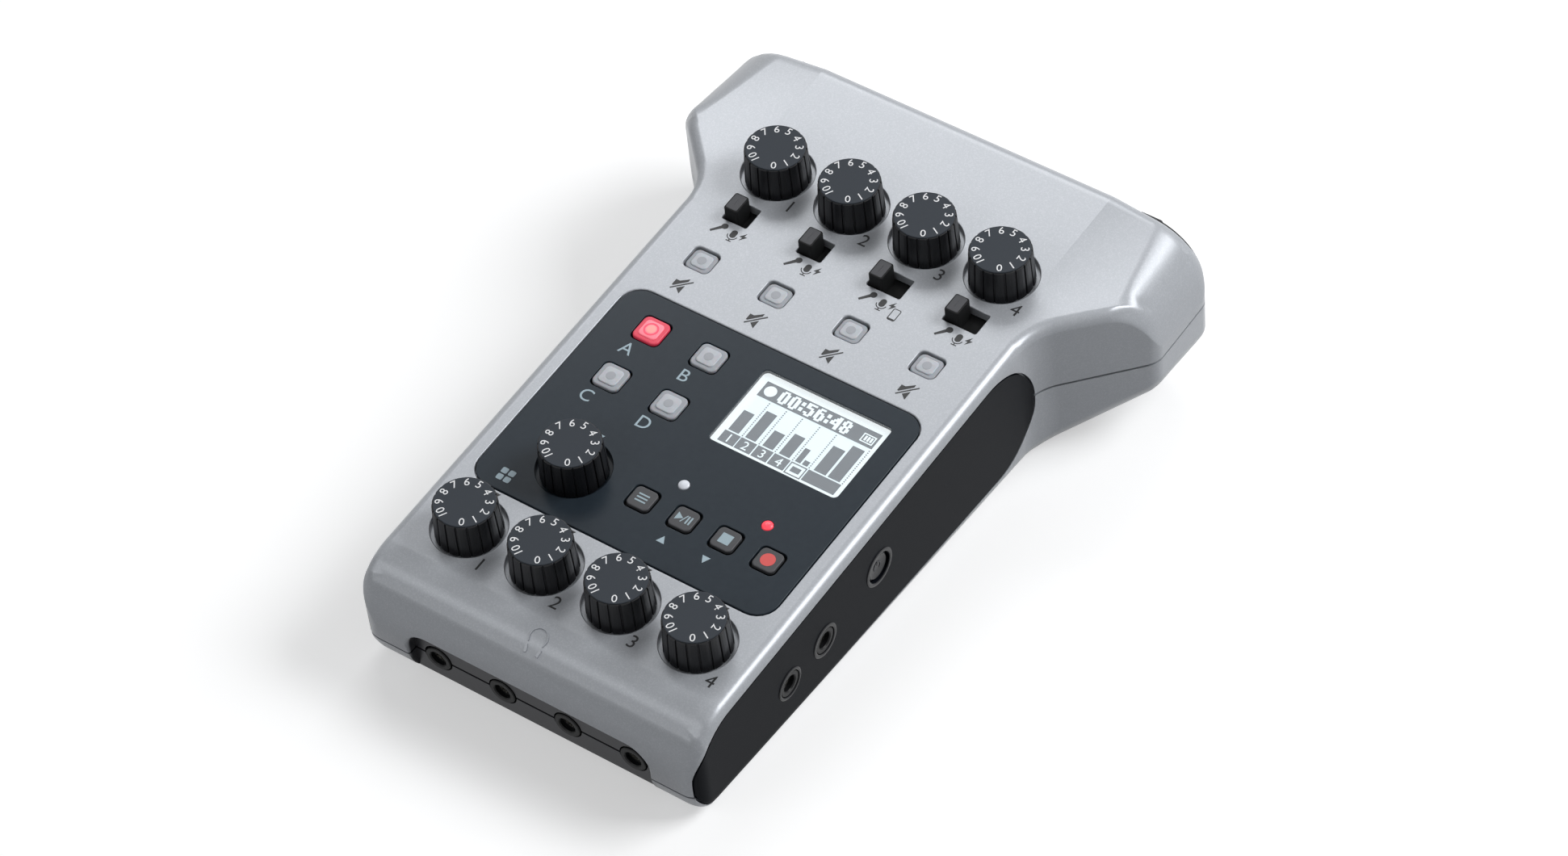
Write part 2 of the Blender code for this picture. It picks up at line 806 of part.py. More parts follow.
def panel_cutters(frame):
    """The sunk seat of the control panel and the window through the deck."""
    gap = 2 * PANEL_EDGE_GAP
    seat = rounded_rectangle(PANEL_WIDTH + gap, PANEL_LENGTH + gap,
                             PANEL_CORNER + PANEL_EDGE_GAP, CORNER_STEPS)
    ledge = 2 * PANEL_LEDGE
    window = rounded_rectangle(PANEL_WIDTH - ledge, PANEL_LENGTH - ledge,
                               PANEL_CORNER - PANEL_LEDGE, KEY_CORNER_STEPS)
    seat = [(p.x, PANEL_Y + p.y) for p in seat]
    window = [(p.x, PANEL_Y + p.y) for p in window]
    return [prism("panel_seat", seat, -PANEL_THICKNESS - SEAT_GAP, OVERRUN, frame),
            prism("panel_window", window, -OVERRUN, OVERRUN, frame)]


def along_y(x, depth, y, outward):
    """Turn a solid that stands along Z to lie along Y at the given place."""
    turn = Matrix.Rotation(-outward * math.pi / 2, 4, "X")
    return Matrix.Translation((x, y, -depth)) @ turn


def along_x(y, depth, x, outward):
    """Turn a solid that stands along Z to lie along X at the given place."""
    turn = Matrix.Rotation(outward * math.pi / 2, 4, "Y")
    return Matrix.Translation((x, y, -depth)) @ turn


def round_hole(radius, length, segments, place, frame):
    """A round cutter that reaches the same way to both sides of its place."""
    mesh = turned_mesh("round_hole", [(radius, -length), (radius, length)], segments)
    mesh.transform(place)
    return solid("round_hole", mesh, frame)


def xlr_places():
    return [XLR_PITCH * (i - 1.5) for i in range(4)]


def xlr_cutters(frame):
    radius = XLR_FLANGE_RADIUS + SEAT_GAP
    return [round_hole(radius, OVERRUN, XLR_SEGMENTS, along_y(x, XLR_DEPTH, BACK_REACH, 1), frame)
            for x in xlr_places()]


def phones_jack_places():
    return [PHONES_JACK_PITCH * (i - 1.5) for i in range(4)]


def phones_jack_cutters(frame):
    radius = JACK_RADIUS + SEAT_GAP
    return [round_hole(radius, OVERRUN, JACK_SEGMENTS, along_y(x, SEAM_DEPTH, -FRONT_REACH, -1), frame)
            for x in phones_jack_places()]


def scoop_outline(margin):
    """The scoop's front view: round upper corners, open below."""
    half = SCOOP_HALF_WIDTH + margin
    top = -SCOOP_TOP_DEPTH + margin
    low = -DEPTH_AT_ORIGIN - OVERRUN
    corner = SCOOP_CORNER + margin
    corners = [(half, low, CLIP_SKIN), (half, top, corner), (-half, top, corner),
               (-half, low, CLIP_SKIN)]
    return [p for p, _ in fillet(corners, CORNER_STEPS)]


def scoop_cutter(frame):
    turn = Matrix.Rotation(math.pi / 2, 4, "X")
    face = FRONT_REACH - SCOOP_DEPTH
    return prism("scoop", scoop_outline(0.0), face, FRONT_REACH + OVERRUN, frame, turn)


def scoop_backing(frame):
    """Thicker wall behind the scoop, which carries the jacks' nuts."""
    turn = Matrix.Rotation(math.pi / 2, 4, "X")
    low = FRONT_REACH - SCOOP_DEPTH - SCOOP_BACKING
    block = prism("backing", scoop_outline(SCOOP_BACKING_MARGIN), low, FRONT_REACH, frame, turn)
    return clip(block, casing("backing_limit", CLIP_SKIN, frame))


def side_wall_cutters(frame):
    """Holes behind the side panels for the button, the jacks and the ports."""
    gap = RUN_GAP
    wall = BODY_HALF_WIDTH
    cutters = [round_hole(POWER_RADIUS + gap, OVERRUN, JACK_SEGMENTS,
                          along_x(POWER_Y, POWER_DEPTH, wall, 1), frame)]
    for y in (SMARTPHONE_JACK_Y, LINE_JACK_Y):
        cutters.append(round_hole(JACK_RADIUS + gap, OVERRUN, JACK_SEGMENTS,
                                  along_x(y, SIDE_JACK_DEPTH, wall, 1), frame))
    return cutters + port_cutters(frame)


def port_cutters(frame):
    """Openings in the left wall for the two ports and the memory card."""
    cutters = []
    for y in USB_Y:
        cutters.append(port_prism(y, USB_DEPTH, USB_WIDTH, USB_HEIGHT, RUN_GAP, frame))
    cutters.append(port_prism(CARD_Y, CARD_DEPTH, CARD_BODY_WIDTH, CARD_BODY_HEIGHT, RUN_GAP, frame))
    return cutters


def port_outline(width, height, gap):
    corner = height * PORT_CORNER_SHARE + gap
    return rounded_rectangle(height + 2 * gap, width + 2 * gap, corner, KEY_CORNER_STEPS)


def port_prism(y, depth, width, height, gap, frame):
    """A block through the left wall, a gap larger than a port of this size."""
    outline = port_outline(width, height, gap)
    return prism("port", outline, -OVERRUN, OVERRUN, frame,
                 along_x(y, depth, -BODY_HALF_WIDTH, -1))


def screw_places():
    front = [(SCREW_FRONT_X, SCREW_FRONT_Y), (-SCREW_FRONT_X, SCREW_FRONT_Y)]
    return front + [(SCREW_BACK_X, SCREW_BACK_Y), (-SCREW_BACK_X, SCREW_BACK_Y)]


def board_posts(frame):
    """Pillars under the deck that the circuit boards are screwed to."""
    places = [(side * POST_ROW_X, y) for y in POST_ROWS for side in (-1, 1)]
    low = SEAT_GAP - BOARD_TOP_DEPTH
    high = -WALL / 2
    return [peg("post", POST_RADIUS, low, high, x, y, POST_SEGMENTS, frame)
            for x, y in places + [(0.0, MIDDLE_POST_Y)]]


def hollow_casing(frame):
    return cut(casing("casing", 0.0, frame), casing("hollow", WALL, frame))


def half_space(low, high, frame):
    """A block over the whole plan between two heights, to part the casing."""
    x = HEAD_HALF_WIDTH + OVERRUN
    y = BACK_REACH + OVERRUN
    return box("half", (-x, -y, low), (x, y, high), frame)


def top_shell(frame):
    shell = cut(hollow_casing(frame),
                half_space(-DEPTH_AT_ORIGIN - BACK_REACH, SEAM_GAP / 2 - SEAM_DEPTH, frame))
    backing = cut(scoop_backing(frame),
                  half_space(-DEPTH_AT_ORIGIN - BACK_REACH, SEAM_GAP / 2 - SEAM_DEPTH, frame))
    join(shell, backing)
    join(shell, *board_posts(frame))
    low = SEAM_GAP / 2 - SEAM_DEPTH
    for x, y in screw_places():
        boss = peg("boss", BOSS_RADIUS, low, -WALL / 2, x, y, SCREW_SEGMENTS, frame)
        join(shell, clip(boss, casing("boss_limit", CLIP_SKIN, frame)))
        pilot = peg("pilot", SCREW_CORE_RADIUS, low - OVERRUN, low + SCREW_PILOT_LENGTH,
                    x, y, POST_SEGMENTS, frame)
        cut(shell, pilot)
    for y in (GAIN_ROW_Y, PHONES_ROW_Y):
        for x in COLUMN_X:
            cut(shell, *well_cutters(x, y, frame))
    cut(shell, *slot_cutters(frame), *mute_cutters(frame), *panel_cutters(frame))
    cut(shell, scoop_cutter(frame), *phones_jack_cutters(frame), *xlr_cutters(frame))
    cut(shell, side_pocket(1, frame), side_pocket(-1, frame), *side_wall_cutters(frame))
    shell.name = "top_shell"
    return shell


def bay_half():
    """Half sizes of the battery bay along X and Y."""
    half_x = BATTERY_LENGTH / 2 + BAY_END_ROOM
    half_y = BAY_PITCH / 2 + BATTERY_RADIUS + SEAT_GAP
    return half_x, half_y


def bay_top():
    return COVER_THICKNESS + SEAT_GAP + 2 * BATTERY_RADIUS + SEAT_GAP


def cover_outline(gap):
    half_x, half_y = bay_half()
    size_x = 2 * (half_x + COVER_LAP + gap)
    size_y = 2 * (half_y + COVER_LAP + gap)
    outline = rounded_rectangle(size_x, size_y, COVER_CORNER, KEY_CORNER_STEPS)
    return [(p.x, BAY_Y + p.y) for p in outline]


def bottom_shell(deck, base):
    high = half_space(-SEAM_DEPTH - SEAM_GAP / 2, OVERRUN, deck)
    shell = cut(hollow_casing(deck), high)
    backing = cut(scoop_backing(deck), half_space(-SEAM_DEPTH - SEAM_GAP / 2, OVERRUN, deck))
    join(shell, backing)
    low = -SEAM_DEPTH - SEAM_GAP / 2
    floor = -DEPTH_AT_ORIGIN - BACK_REACH
    for x, y in screw_places():
        boss = peg("boss", BOSS_RADIUS + WALL / 2, floor, low, x, y, SCREW_SEGMENTS, deck)
        join(shell, clip(boss, casing("boss_limit", CLIP_SKIN, deck)))
        shank = peg("shank", SCREW_SHANK_RADIUS, floor, low + OVERRUN, x, y, POST_SEGMENTS, deck)
        head = peg("head", SCREW_HEAD_RADIUS, floor, -SCREW_SEAT_DEPTH, x, y, SCREW_SEGMENTS, deck)
        cut(shell, shank, head)
    half_x, half_y = bay_half()
    roof = bay_top()
    wall = BAY_WALL
    bay = box("bay", (-half_x - wall, BAY_Y - half_y - wall, WALL / 2),
              (half_x + wall, BAY_Y + half_y + wall, roof + wall), base)
    join(shell, bay)
    room = box("room", (-half_x, BAY_Y - half_y, -OVERRUN), (half_x, BAY_Y + half_y, roof), base)
    seat = prism("cover_seat", cover_outline(SEAT_GAP), -OVERRUN, COVER_THICKNESS + SEAT_GAP, base)
    cut(shell, seat, room)
    for x, y in foot_places():
        cut(shell, peg("foot_seat", FOOT_RADIUS + SEAT_GAP, -OVERRUN,
                       FOOT_THICKNESS - FOOT_PROUD + SEAT_GAP, x, y, FOOT_SEGMENTS, base))
    cut(shell, scoop_cutter(deck), *phones_jack_cutters(deck), *xlr_cutters(deck))
    cut(shell, side_pocket(1, deck), side_pocket(-1, deck), *side_wall_cutters(deck))
    shell.name = "bottom_shell"
    return shell


def side_panel(side, frame):
    name = "right_side_panel" if side > 0 else "left_side_panel"
    panel = clip(side_prism(0.0, side, frame), casing("skin", 0.0, frame))
    cut(panel, casing("core", SIDE_PANEL_THICKNESS, frame))
    panel.name = name
    return panel


def right_side_panel(frame):
    panel = side_panel(1, frame)
    radii = ((POWER_Y, POWER_DEPTH, POWER_RADIUS), (SMARTPHONE_JACK_Y, SIDE_JACK_DEPTH, JACK_RADIUS),
             (LINE_JACK_Y, SIDE_JACK_DEPTH, JACK_RADIUS))
    for y, depth, radius in radii:
        place = along_x(y, depth, BODY_HALF_WIDTH, 1)
        cut(panel, round_hole(radius + RUN_GAP, OVERRUN, JACK_SEGMENTS, place, frame))
    return panel


def left_side_panel(frame):
    panel = side_panel(-1, frame)
    for y in USB_Y:
        cut(panel, port_prism(y, USB_DEPTH, USB_WIDTH, USB_HEIGHT, RUN_GAP, frame))
    cut(panel, port_prism(CARD_Y, CARD_DEPTH, CARD_BODY_WIDTH, CARD_BODY_HEIGHT, RUN_GAP, frame))
    return panel


def battery_cover(base):
    """Door over the battery bay, hung on the edge nearest the front."""
    half_x, half_y = bay_half()
    hinge_y = BAY_Y - half_y - COVER_LAP
    cover = prism("battery_cover", cover_outline(0.0), 0.0, COVER_THICKNESS, base)
    lip_x = half_x * COVER_LIP_SHARE
    lip_y = BAY_Y + half_y - SEAT_GAP
    lip = box("lip", (-lip_x, lip_y - COVER_LIP, COVER_THICKNESS / 2),
              (lip_x, lip_y, COVER_THICKNESS + COVER_LIP), base)
    join(cover, lip)
    cover.data.transform(Matrix.Translation((0, -hinge_y, 0)))
    cover.location = (0, hinge_y, 0)
    return cover


# Controls

def lobed_circle(radius, height, groove):
    """A circle with rounded lobes parted by narrow grooves."""
    points = []
    for lobe in range(KNOB_LOBES):
        for share in LOBE_SHARES:
            turn = 2 * math.pi * (lobe + share) / KNOB_LOBES
            reach = radius - (groove if share == 0.0 else 0.0)
            points.append(Vector((reach * math.cos(turn), reach * math.sin(turn), height)))
    return points


def knob_mesh():
    """A lobed knob whose stem reaches down into its potentiometer."""
    rings = [
        lobed_circle(KNOB_BASE_RADIUS, KNOB_LOW, KNOB_GROOVE),
        lobed_circle(KNOB_TOP_RADIUS + KNOB_EDGE / 2, KNOB_TOP_HEIGHT - KNOB_EDGE, KNOB_GROOVE),
        lobed_circle(KNOB_TOP_RADIUS, KNOB_TOP_HEIGHT, 0.0),
    ]
    body = solid("knob", ring_mesh("knob", rings), None)
    stem = peg("stem", STEM_RADIUS, -STEM_END_DEPTH, KNOB_LOW + KNOB_EDGE, 0.0, 0.0, STEM_SEGMENTS, None)
    join(body, stem)
    mesh = body.data
    bpy.data.objects.remove(body, do_unlink=True)
    return mesh


def knob_places():
    places = {}
    for i, x in enumerate(COLUMN_X):
        places[f"input_gain_knob_{i + 1}"] = (x, GAIN_ROW_Y)
        places[f"headphone_volume_knob_{i + 1}"] = (x, PHONES_ROW_Y)
    places["sound_pad_knob"] = (PAD_KNOB_X, PAD_KNOB_Y)
    return places


def knobs(frame):
    mesh = knob_mesh()
    made = knob_plastic()
    for name, (x, y) in knob_places().items():
        finish(solid(name, mesh.copy(), frame, (x, y, 0.0)), made)


def switch_caps(frame):
    """Slider caps at the left ends of their slots, each on its dust plate."""
    made = black_moulding()
    plate_top = -WALL - SEAT_GAP
    plate_low = plate_top - DUST_PLATE_THICKNESS
    for i, (left, right) in enumerate(switch_slots()):
        travel = right - left - CAP_WIDTH - 2 * CAP_END_GAP
        plate = CAP_WIDTH + 2 * travel + 2 * CAP_END_GAP
        plate = max(plate, right - left + travel)
        corner = CAP_EDGE
        sections = [
            (CAP_STEM, CAP_STEM, corner, SEAT_GAP - SWITCH_BODY_TOP_DEPTH),
            (CAP_STEM, CAP_STEM, corner, plate_low),
            (plate, DUST_PLATE_LENGTH, corner, plate_low),
            (plate, DUST_PLATE_LENGTH, corner, plate_top),
            (CAP_WIDTH, CAP_LENGTH, corner, plate_top),
            (CAP_WIDTH, CAP_LENGTH, corner, CAP_HEIGHT - CAP_EDGE),
            (CAP_WIDTH - CAP_EDGE, CAP_LENGTH - CAP_EDGE, corner, CAP_HEIGHT),
        ]
        place = (left + CAP_END_GAP + CAP_WIDTH / 2, SWITCH_ROW_Y, 0.0)
        finish(stepped_key(f"input_switch_cap_{i + 1}", sections, frame, place), made)


def press_key(name, width, length, top, under, made, frame, x, y):
    """A sprung key: stem, holding flange under its hole, and cap."""
    tact_top = -BOARD_TOP_DEPTH + TACT_HEIGHT
    flange_top = under - SEAT_GAP
    flange_low = flange_top - KEY_FLANGE_THICKNESS
    wide, long = width + 2 * KEY_FLANGE, length + 2 * KEY_FLANGE
    sections = [
        (KEY_STEM, KEY_STEM, KEY_STEM_CORNER, tact_top + KEY_REST_GAP),
        (KEY_STEM, KEY_STEM, KEY_STEM_CORNER, flange_low),
        (wide, long, KEY_CORNER, flange_low),
        (wide, long, KEY_CORNER, flange_top),
        (width, length, KEY_CORNER, flange_top),
        (width, length, KEY_CORNER, top - KEY_EDGE),
        (width - 2 * KEY_EDGE, length - 2 * KEY_EDGE, KEY_CORNER - KEY_EDGE, top),
    ]
    return finish(stepped_key(name, sections, frame, (x, y, 0.0)), made)


def mute_buttons(frame):
    made = clear_rubber()
    for i, x in enumerate(COLUMN_X):
        press_key(f"mute_button_{i + 1}", MUTE_HOLE_WIDTH - 2 * RUN_GAP, MUTE_HOLE_LENGTH - 2 * RUN_GAP,
                  MUTE_TOP, -WALL, made, frame, x, MUTE_ROW_Y)


def pad_places():
    half = PAD_PITCH / 2
    return {
        "sound_pad_a": (PAD_KNOB_X - half, PAD_ROW_Y + half),
        "sound_pad_b": (PAD_KNOB_X + half, PAD_ROW_Y + half),
        "sound_pad_c": (PAD_KNOB_X - half, PAD_ROW_Y - half),
        "sound_pad_d": (PAD_KNOB_X + half, PAD_ROW_Y - half),
    }


def sound_pads(frame):
    plain = clear_rubber()
    size = PAD_HOLE - 2 * PAD_CLEARANCE
    for name, (x, y) in pad_places().items():
        made = lit_rubber() if name == "sound_pad_a" else plain
        press_key(name, size, size, PAD_TOP, -PANEL_THICKNESS, made, frame, x, y)


def key_places():
    names = ("menu_key", "play_pause_key", "stop_key", "record_key")
    return {name: (KEY_ROW_X + KEY_PITCH * (i - 1.5), KEY_ROW_Y) for i, name in enumerate(names)}


def transport_keys(frame):
    made = key_plastic()
    size = KEY_HOLE - 2 * KEY_CLEARANCE
    for name, (x, y) in key_places().items():
        press_key(name, size, size, KEY_TOP, -PANEL_THICKNESS, made, frame, x, y)


def lamp_places():
    return {
        "status_light_pipe": (KEY_ROW_X - KEY_PITCH, white_lens()),
        "record_light_pipe": (KEY_ROW_X + KEY_PITCH, red_lens()),
    }


def light_pipes(frame):
    low = LAMP_LED_HEIGHT + SEAT_GAP - BOARD_TOP_DEPTH
    for name, (x, made) in lamp_places().items():
        profile = [(LAMP_RADIUS, low), (LAMP_RADIUS, 0.0)]
        mesh = turned_mesh(name, profile, LAMP_SEGMENTS)
        finish(solid(name, mesh, frame, (x, LAMP_ROW_Y, 0.0)), made)


def control_panel(frame):
    """Dark plate in the deck, with the round cup that the pad knob turns in."""
    outline = rounded_rectangle(PANEL_WIDTH, PANEL_LENGTH, PANEL_CORNER, CORNER_STEPS)
    plate = prism("control_panel", [(p.x, PANEL_Y + p.y) for p in outline],
                  -PANEL_THICKNESS, 0.0, frame)
    cup_low = -WELL_DEPTH - CUP_WALL
    cup = peg("cup", WELL_RADIUS + CUP_WALL, cup_low, -PANEL_THICKNESS / 2,
              PAD_KNOB_X, PAD_KNOB_Y, WELL_SEGMENTS, frame)
    join(plate, cup)
    cut(plate, *well_cutters(PAD_KNOB_X, PAD_KNOB_Y, frame))
    for x, y in pad_places().values():
        outline = rounded_rectangle(PAD_HOLE, PAD_HOLE, KEY_CORNER, KEY_CORNER_STEPS)
        cut(plate, prism("pad_hole", [(x + p.x, y + p.y) for p in outline], -OVERRUN, OVERRUN, frame))
    for x, y in key_places().values():
        outline = rounded_rectangle(KEY_HOLE, KEY_HOLE, KEY_CORNER, KEY_CORNER_STEPS)
        cut(plate, prism("key_hole", [(x + p.x, y + p.y) for p in outline], -OVERRUN, OVERRUN, frame))
    for x, _ in lamp_places().values():
        cut(plate, peg("lamp_hole", LAMP_RADIUS + RUN_GAP, -OVERRUN, OVERRUN,
                       x, LAMP_ROW_Y, LAMP_SEGMENTS, frame))
    gap = 2 * RUN_GAP
    outline = rounded_rectangle(LCD_WIDTH + gap, LCD_LENGTH + gap, LCD_CORNER, KEY_CORNER_STEPS)
    cut(plate, prism("lcd_hole", [(LCD_X + p.x, LCD_Y + p.y) for p in outline],
                     -OVERRUN, OVERRUN, frame))
    return plate


def lcd_window(frame):
    outline = rounded_rectangle(LCD_WIDTH, LCD_LENGTH, LCD_CORNER, KEY_CORNER_STEPS)
    outline = [(LCD_X + p.x, LCD_Y + p.y) for p in outline]
    return prism("lcd_window", outline, -LCD_WINDOW_THICKNESS, 0.0, frame)


def lcd_module(frame):
    """Display and backlight, standing on the main board on four legs."""
    top = -LCD_WINDOW_THICKNESS - SEAT_GAP
    low = top - LCD_FRAME_THICKNESS
    half_x, half_y = LCD_FRAME_WIDTH / 2, LCD_FRAME_LENGTH / 2
    module = box("lcd_module", (LCD_X - half_x, LCD_Y - half_y, low),
                 (LCD_X + half_x, LCD_Y + half_y, top), frame)
    foot = SEAT_GAP - BOARD_TOP_DEPTH
    for sx in (-1, 1):
        for sy in (-1, 1):
            x = LCD_X + sx * (half_x - LCD_LEG)
            y = LCD_Y + sy * (half_y - LCD_LEG)
            leg = box("leg", (x - LCD_LEG / 2, y - LCD_LEG / 2, foot),
                      (x + LCD_LEG / 2, y + LCD_LEG / 2, low + LCD_LEG / 2), frame)
            join(module, leg)
    return module


def power_button(frame):
    """Round button in the right side, origin on its own axis."""
    profile = [
        (POWER_STEM_RADIUS, -POWER_LENGTH - POWER_STEM_LENGTH),
        (POWER_STEM_RADIUS, -POWER_LENGTH),
        (POWER_RADIUS, -POWER_LENGTH),
        (POWER_RADIUS, -POWER_EDGE - SEAT_GAP),
        (POWER_RADIUS - POWER_EDGE, -SEAT_GAP),
    ]
    mesh = turned_mesh("power_button", profile, JACK_SEGMENTS)
    mesh.transform(Matrix.Rotation(math.pi / 2, 4, "Y"))
    return solid("power_button", mesh, frame, (BODY_HALF_WIDTH, POWER_Y, -POWER_DEPTH))


# Sockets

def jack(name, place, height_up, front, frame):
    """A small round jack: barrel to the outside, body that meets its board.

    It is built along Z with its mouth at Z = 0, then turned to its place.
    front is the barrel's length in front of the body, and height_up is how far
    the body reaches towards the board.
    """
    barrel = peg(name, JACK_RADIUS, -front - CAP_EDGE, 0.0, 0.0, 0.0, JACK_SEGMENTS, None)
    body = box("body", (-height_up, -JACK_WIDTH / 2, -front - JACK_LENGTH),
               (JACK_HALF_HEIGHT, JACK_WIDTH / 2, -front), None)
    join(barrel, body)
    bore = peg("bore", JACK_BORE_RADIUS, -JACK_BORE_LENGTH, OVERRUN, 0.0, 0.0, JACK_SEGMENTS, None)
    cut(barrel, bore)
    barrel.data.transform(place)
    barrel.parent = frame
    barrel.name = name
    return finish(barrel, socket_black())


def headphone_jacks(frame):
    """Four jacks in the front scoop, under the headphone board."""
    mouth_y = -FRONT_REACH + SCOOP_DEPTH - JACK_PROUD
    front = SCOOP_BACKING + JACK_PROUD + SEAT_GAP
    height_up = SEAM_DEPTH + BOARD_LOW - SEAT_GAP
    for i, x in enumerate(phones_jack_places()):
        upright = Matrix.Rotation(math.pi / 2, 4, "Z")
        place = along_y(x, SEAM_DEPTH, mouth_y, -1) @ upright.inverted()
        jack(f"headphone_jack_{i + 1}", place, height_up, front, frame)


def side_jacks(frame):
    """Smartphone and line jacks in the right side, under the main board."""
    height_up = SIDE_JACK_DEPTH + BOARD_LOW - SEAT_GAP
    front = WALL + SEAT_GAP
    for name, y in (("smartphone_jack", SMARTPHONE_JACK_Y), ("line_out_jack", LINE_JACK_Y)):
        place = along_x(y, SIDE_JACK_DEPTH, BODY_HALF_WIDTH, 1)
        jack(name, place, height_up, front, frame)


def usb_ports(frame):
    """Two flat oval ports in the left side, each with its tongue."""
    for name, y in (("usb_power_port", USB_Y[0]), ("usb_data_port", USB_Y[1])):
        port = prism(name, port_outline(USB_WIDTH, USB_HEIGHT, 0.0), -USB_LENGTH, 0.0, None)
        hole = rounded_rectangle(USB_HEIGHT - 2 * USB_WALL, USB_WIDTH - 2 * USB_WALL,
                                 USB_HEIGHT * PORT_INNER_CORNER_SHARE, KEY_CORNER_STEPS)
        cut(port, prism("mouth", hole, -USB_CAVITY, OVERRUN, None))
        half_h, half_w = USB_TONGUE_HEIGHT / 2, USB_TONGUE_WIDTH / 2
        join(port, box("tongue", (-half_h, -half_w, -USB_CAVITY - USB_WALL),
                       (half_h, half_w, -USB_WALL), None))
        port.data.transform(along_x(y, USB_DEPTH, -BODY_HALF_WIDTH, -1))
        port.parent = frame
        finish(port, plated_steel())


def card_socket(frame):
    """Memory card socket: a flat body whose slot opens through the left side."""
    body = prism("card_socket", port_outline(CARD_BODY_WIDTH, CARD_BODY_HEIGHT, 0.0),
                 -CARD_BODY_LENGTH, 0.0, frame, along_x(CARD_Y, CARD_DEPTH, -BODY_HALF_WIDTH, -1))
    slot_low = -CARD_DEPTH - CARD_SLOT_HEIGHT / 2
    slot = box("slot", (-BODY_HALF_WIDTH - OVERRUN, CARD_Y - CARD_SLOT_WIDTH / 2, slot_low),
               (CARD_SLOT_LENGTH - BODY_HALF_WIDTH, CARD_Y + CARD_SLOT_WIDTH / 2,
                slot_low + CARD_SLOT_HEIGHT), frame)
    return cut(body, slot)


def xlr_mesh():
    """Three-pole socket built along Z, its shell's rim standing proud."""
    profile = [
        (XLR_BODY_RADIUS, XLR_PROUD - XLR_LENGTH),
        (XLR_BODY_RADIUS, -XLR_FLANGE_BACK),
        (XLR_FLANGE_RADIUS, -XLR_FLANGE_BACK),
        (XLR_FLANGE_RADIUS, XLR_PROUD - XLR_FACE_STEP),
        (XLR_FLANGE_RADIUS - XLR_FACE_STEP, XLR_PROUD),
        (XLR_GROOVE_OUTER, XLR_PROUD),
        (XLR_GROOVE_OUTER, XLR_PROUD - XLR_GROOVE_DEPTH),
        (XLR_GROOVE_INNER, XLR_PROUD - XLR_GROOVE_DEPTH),
        (XLR_GROOVE_INNER, XLR_PROUD - XLR_FACE_STEP),
    ]
    body = solid("xlr", turned_mesh("xlr", profile, XLR_SEGMENTS), None)
    for k in range(3):
        turn = math.radians(90 + 90 * k)
        x, y = XLR_PIN_CIRCLE * math.cos(turn), XLR_PIN_CIRCLE * math.sin(turn)
        cut(body, peg("pin", XLR_PIN_RADIUS, XLR_PROUD - XLR_PIN_DEPTH, XLR_PROUD + OVERRUN,
                      x, y, POST_SEGMENTS, None))
    mesh = body.data
    bpy.data.objects.remove(body, do_unlink=True)
    return mesh


def xlr_sockets(frame):
    mesh = xlr_mesh()
    made = socket_black()
    for i, x in enumerate(xlr_places()):
        copy = mesh.copy()
        copy.transform(along_y(x, XLR_DEPTH, BACK_REACH, 1))
        finish(solid(f"xlr_input_{i + 1}", copy, frame), made)


# Circuit boards

def potentiometer(x, y, frame):
    """Body of a rotary control with its bush, hollow for the knob's stem."""
    half = POT_SIDE / 2
    pot = box("pot", (x - half, y - half, BOARD_LOW / 2 - BOARD_TOP_DEPTH / 2),
              (x + half, y + half, -POT_TOP_DEPTH), frame)
    bush = peg("bush", BUSH_RADIUS, -BOARD_TOP_DEPTH + SEAT_GAP, -BUSH_TOP_DEPTH, x, y, STEM_SEGMENTS, frame)
    return join(pot, bush)


def stem_hole(x, y, frame):
    low = -STEM_END_DEPTH - SEAT_GAP
    return peg("stem_hole", STEM_RADIUS + RUN_GAP, low, OVERRUN, x, y, STEM_SEGMENTS, frame)


def tact_switch(x, y, frame):
    half = TACT_SIDE / 2
    low = -BOARD_TOP_DEPTH - BOARD_THICKNESS / 2
    return box("tact", (x - half, y - half, low),
               (x + half, y + half, TACT_HEIGHT - BOARD_TOP_DEPTH), frame)


def board_plate(name, outline, frame):
    return prism(name, outline, BOARD_LOW, -BOARD_TOP_DEPTH, frame)


def input_board(frame):
    """Board behind the panel: gain controls, selectors and mute contacts."""
    w = BOARD_HALF_WIDTH
    low, high = MAIN_BOARD_BACK + BOARD_SPLIT, INPUT_BOARD_BACK
    board = board_plate("input_board", [(-w, low), (w, low), (w, high), (-w, high)], frame)
    for x in COLUMN_X:
        join(board, potentiometer(x, GAIN_ROW_Y, frame))
        cut(board, stem_hole(x, GAIN_ROW_Y, frame))
        join(board, tact_switch(x, MUTE_ROW_Y, frame))
    for left, right in switch_slots():
        x = (left + right) / 2
        half_x, half_y = SWITCH_BODY_LENGTH / 2, SWITCH_BODY_WIDTH / 2
        join(board, box("selector", (x - half_x, SWITCH_ROW_Y - half_y, BOARD_LOW / 2 - BOARD_TOP_DEPTH / 2),
                        (x + half_x, SWITCH_ROW_Y + half_y, -SWITCH_BODY_TOP_DEPTH), frame))
    return board


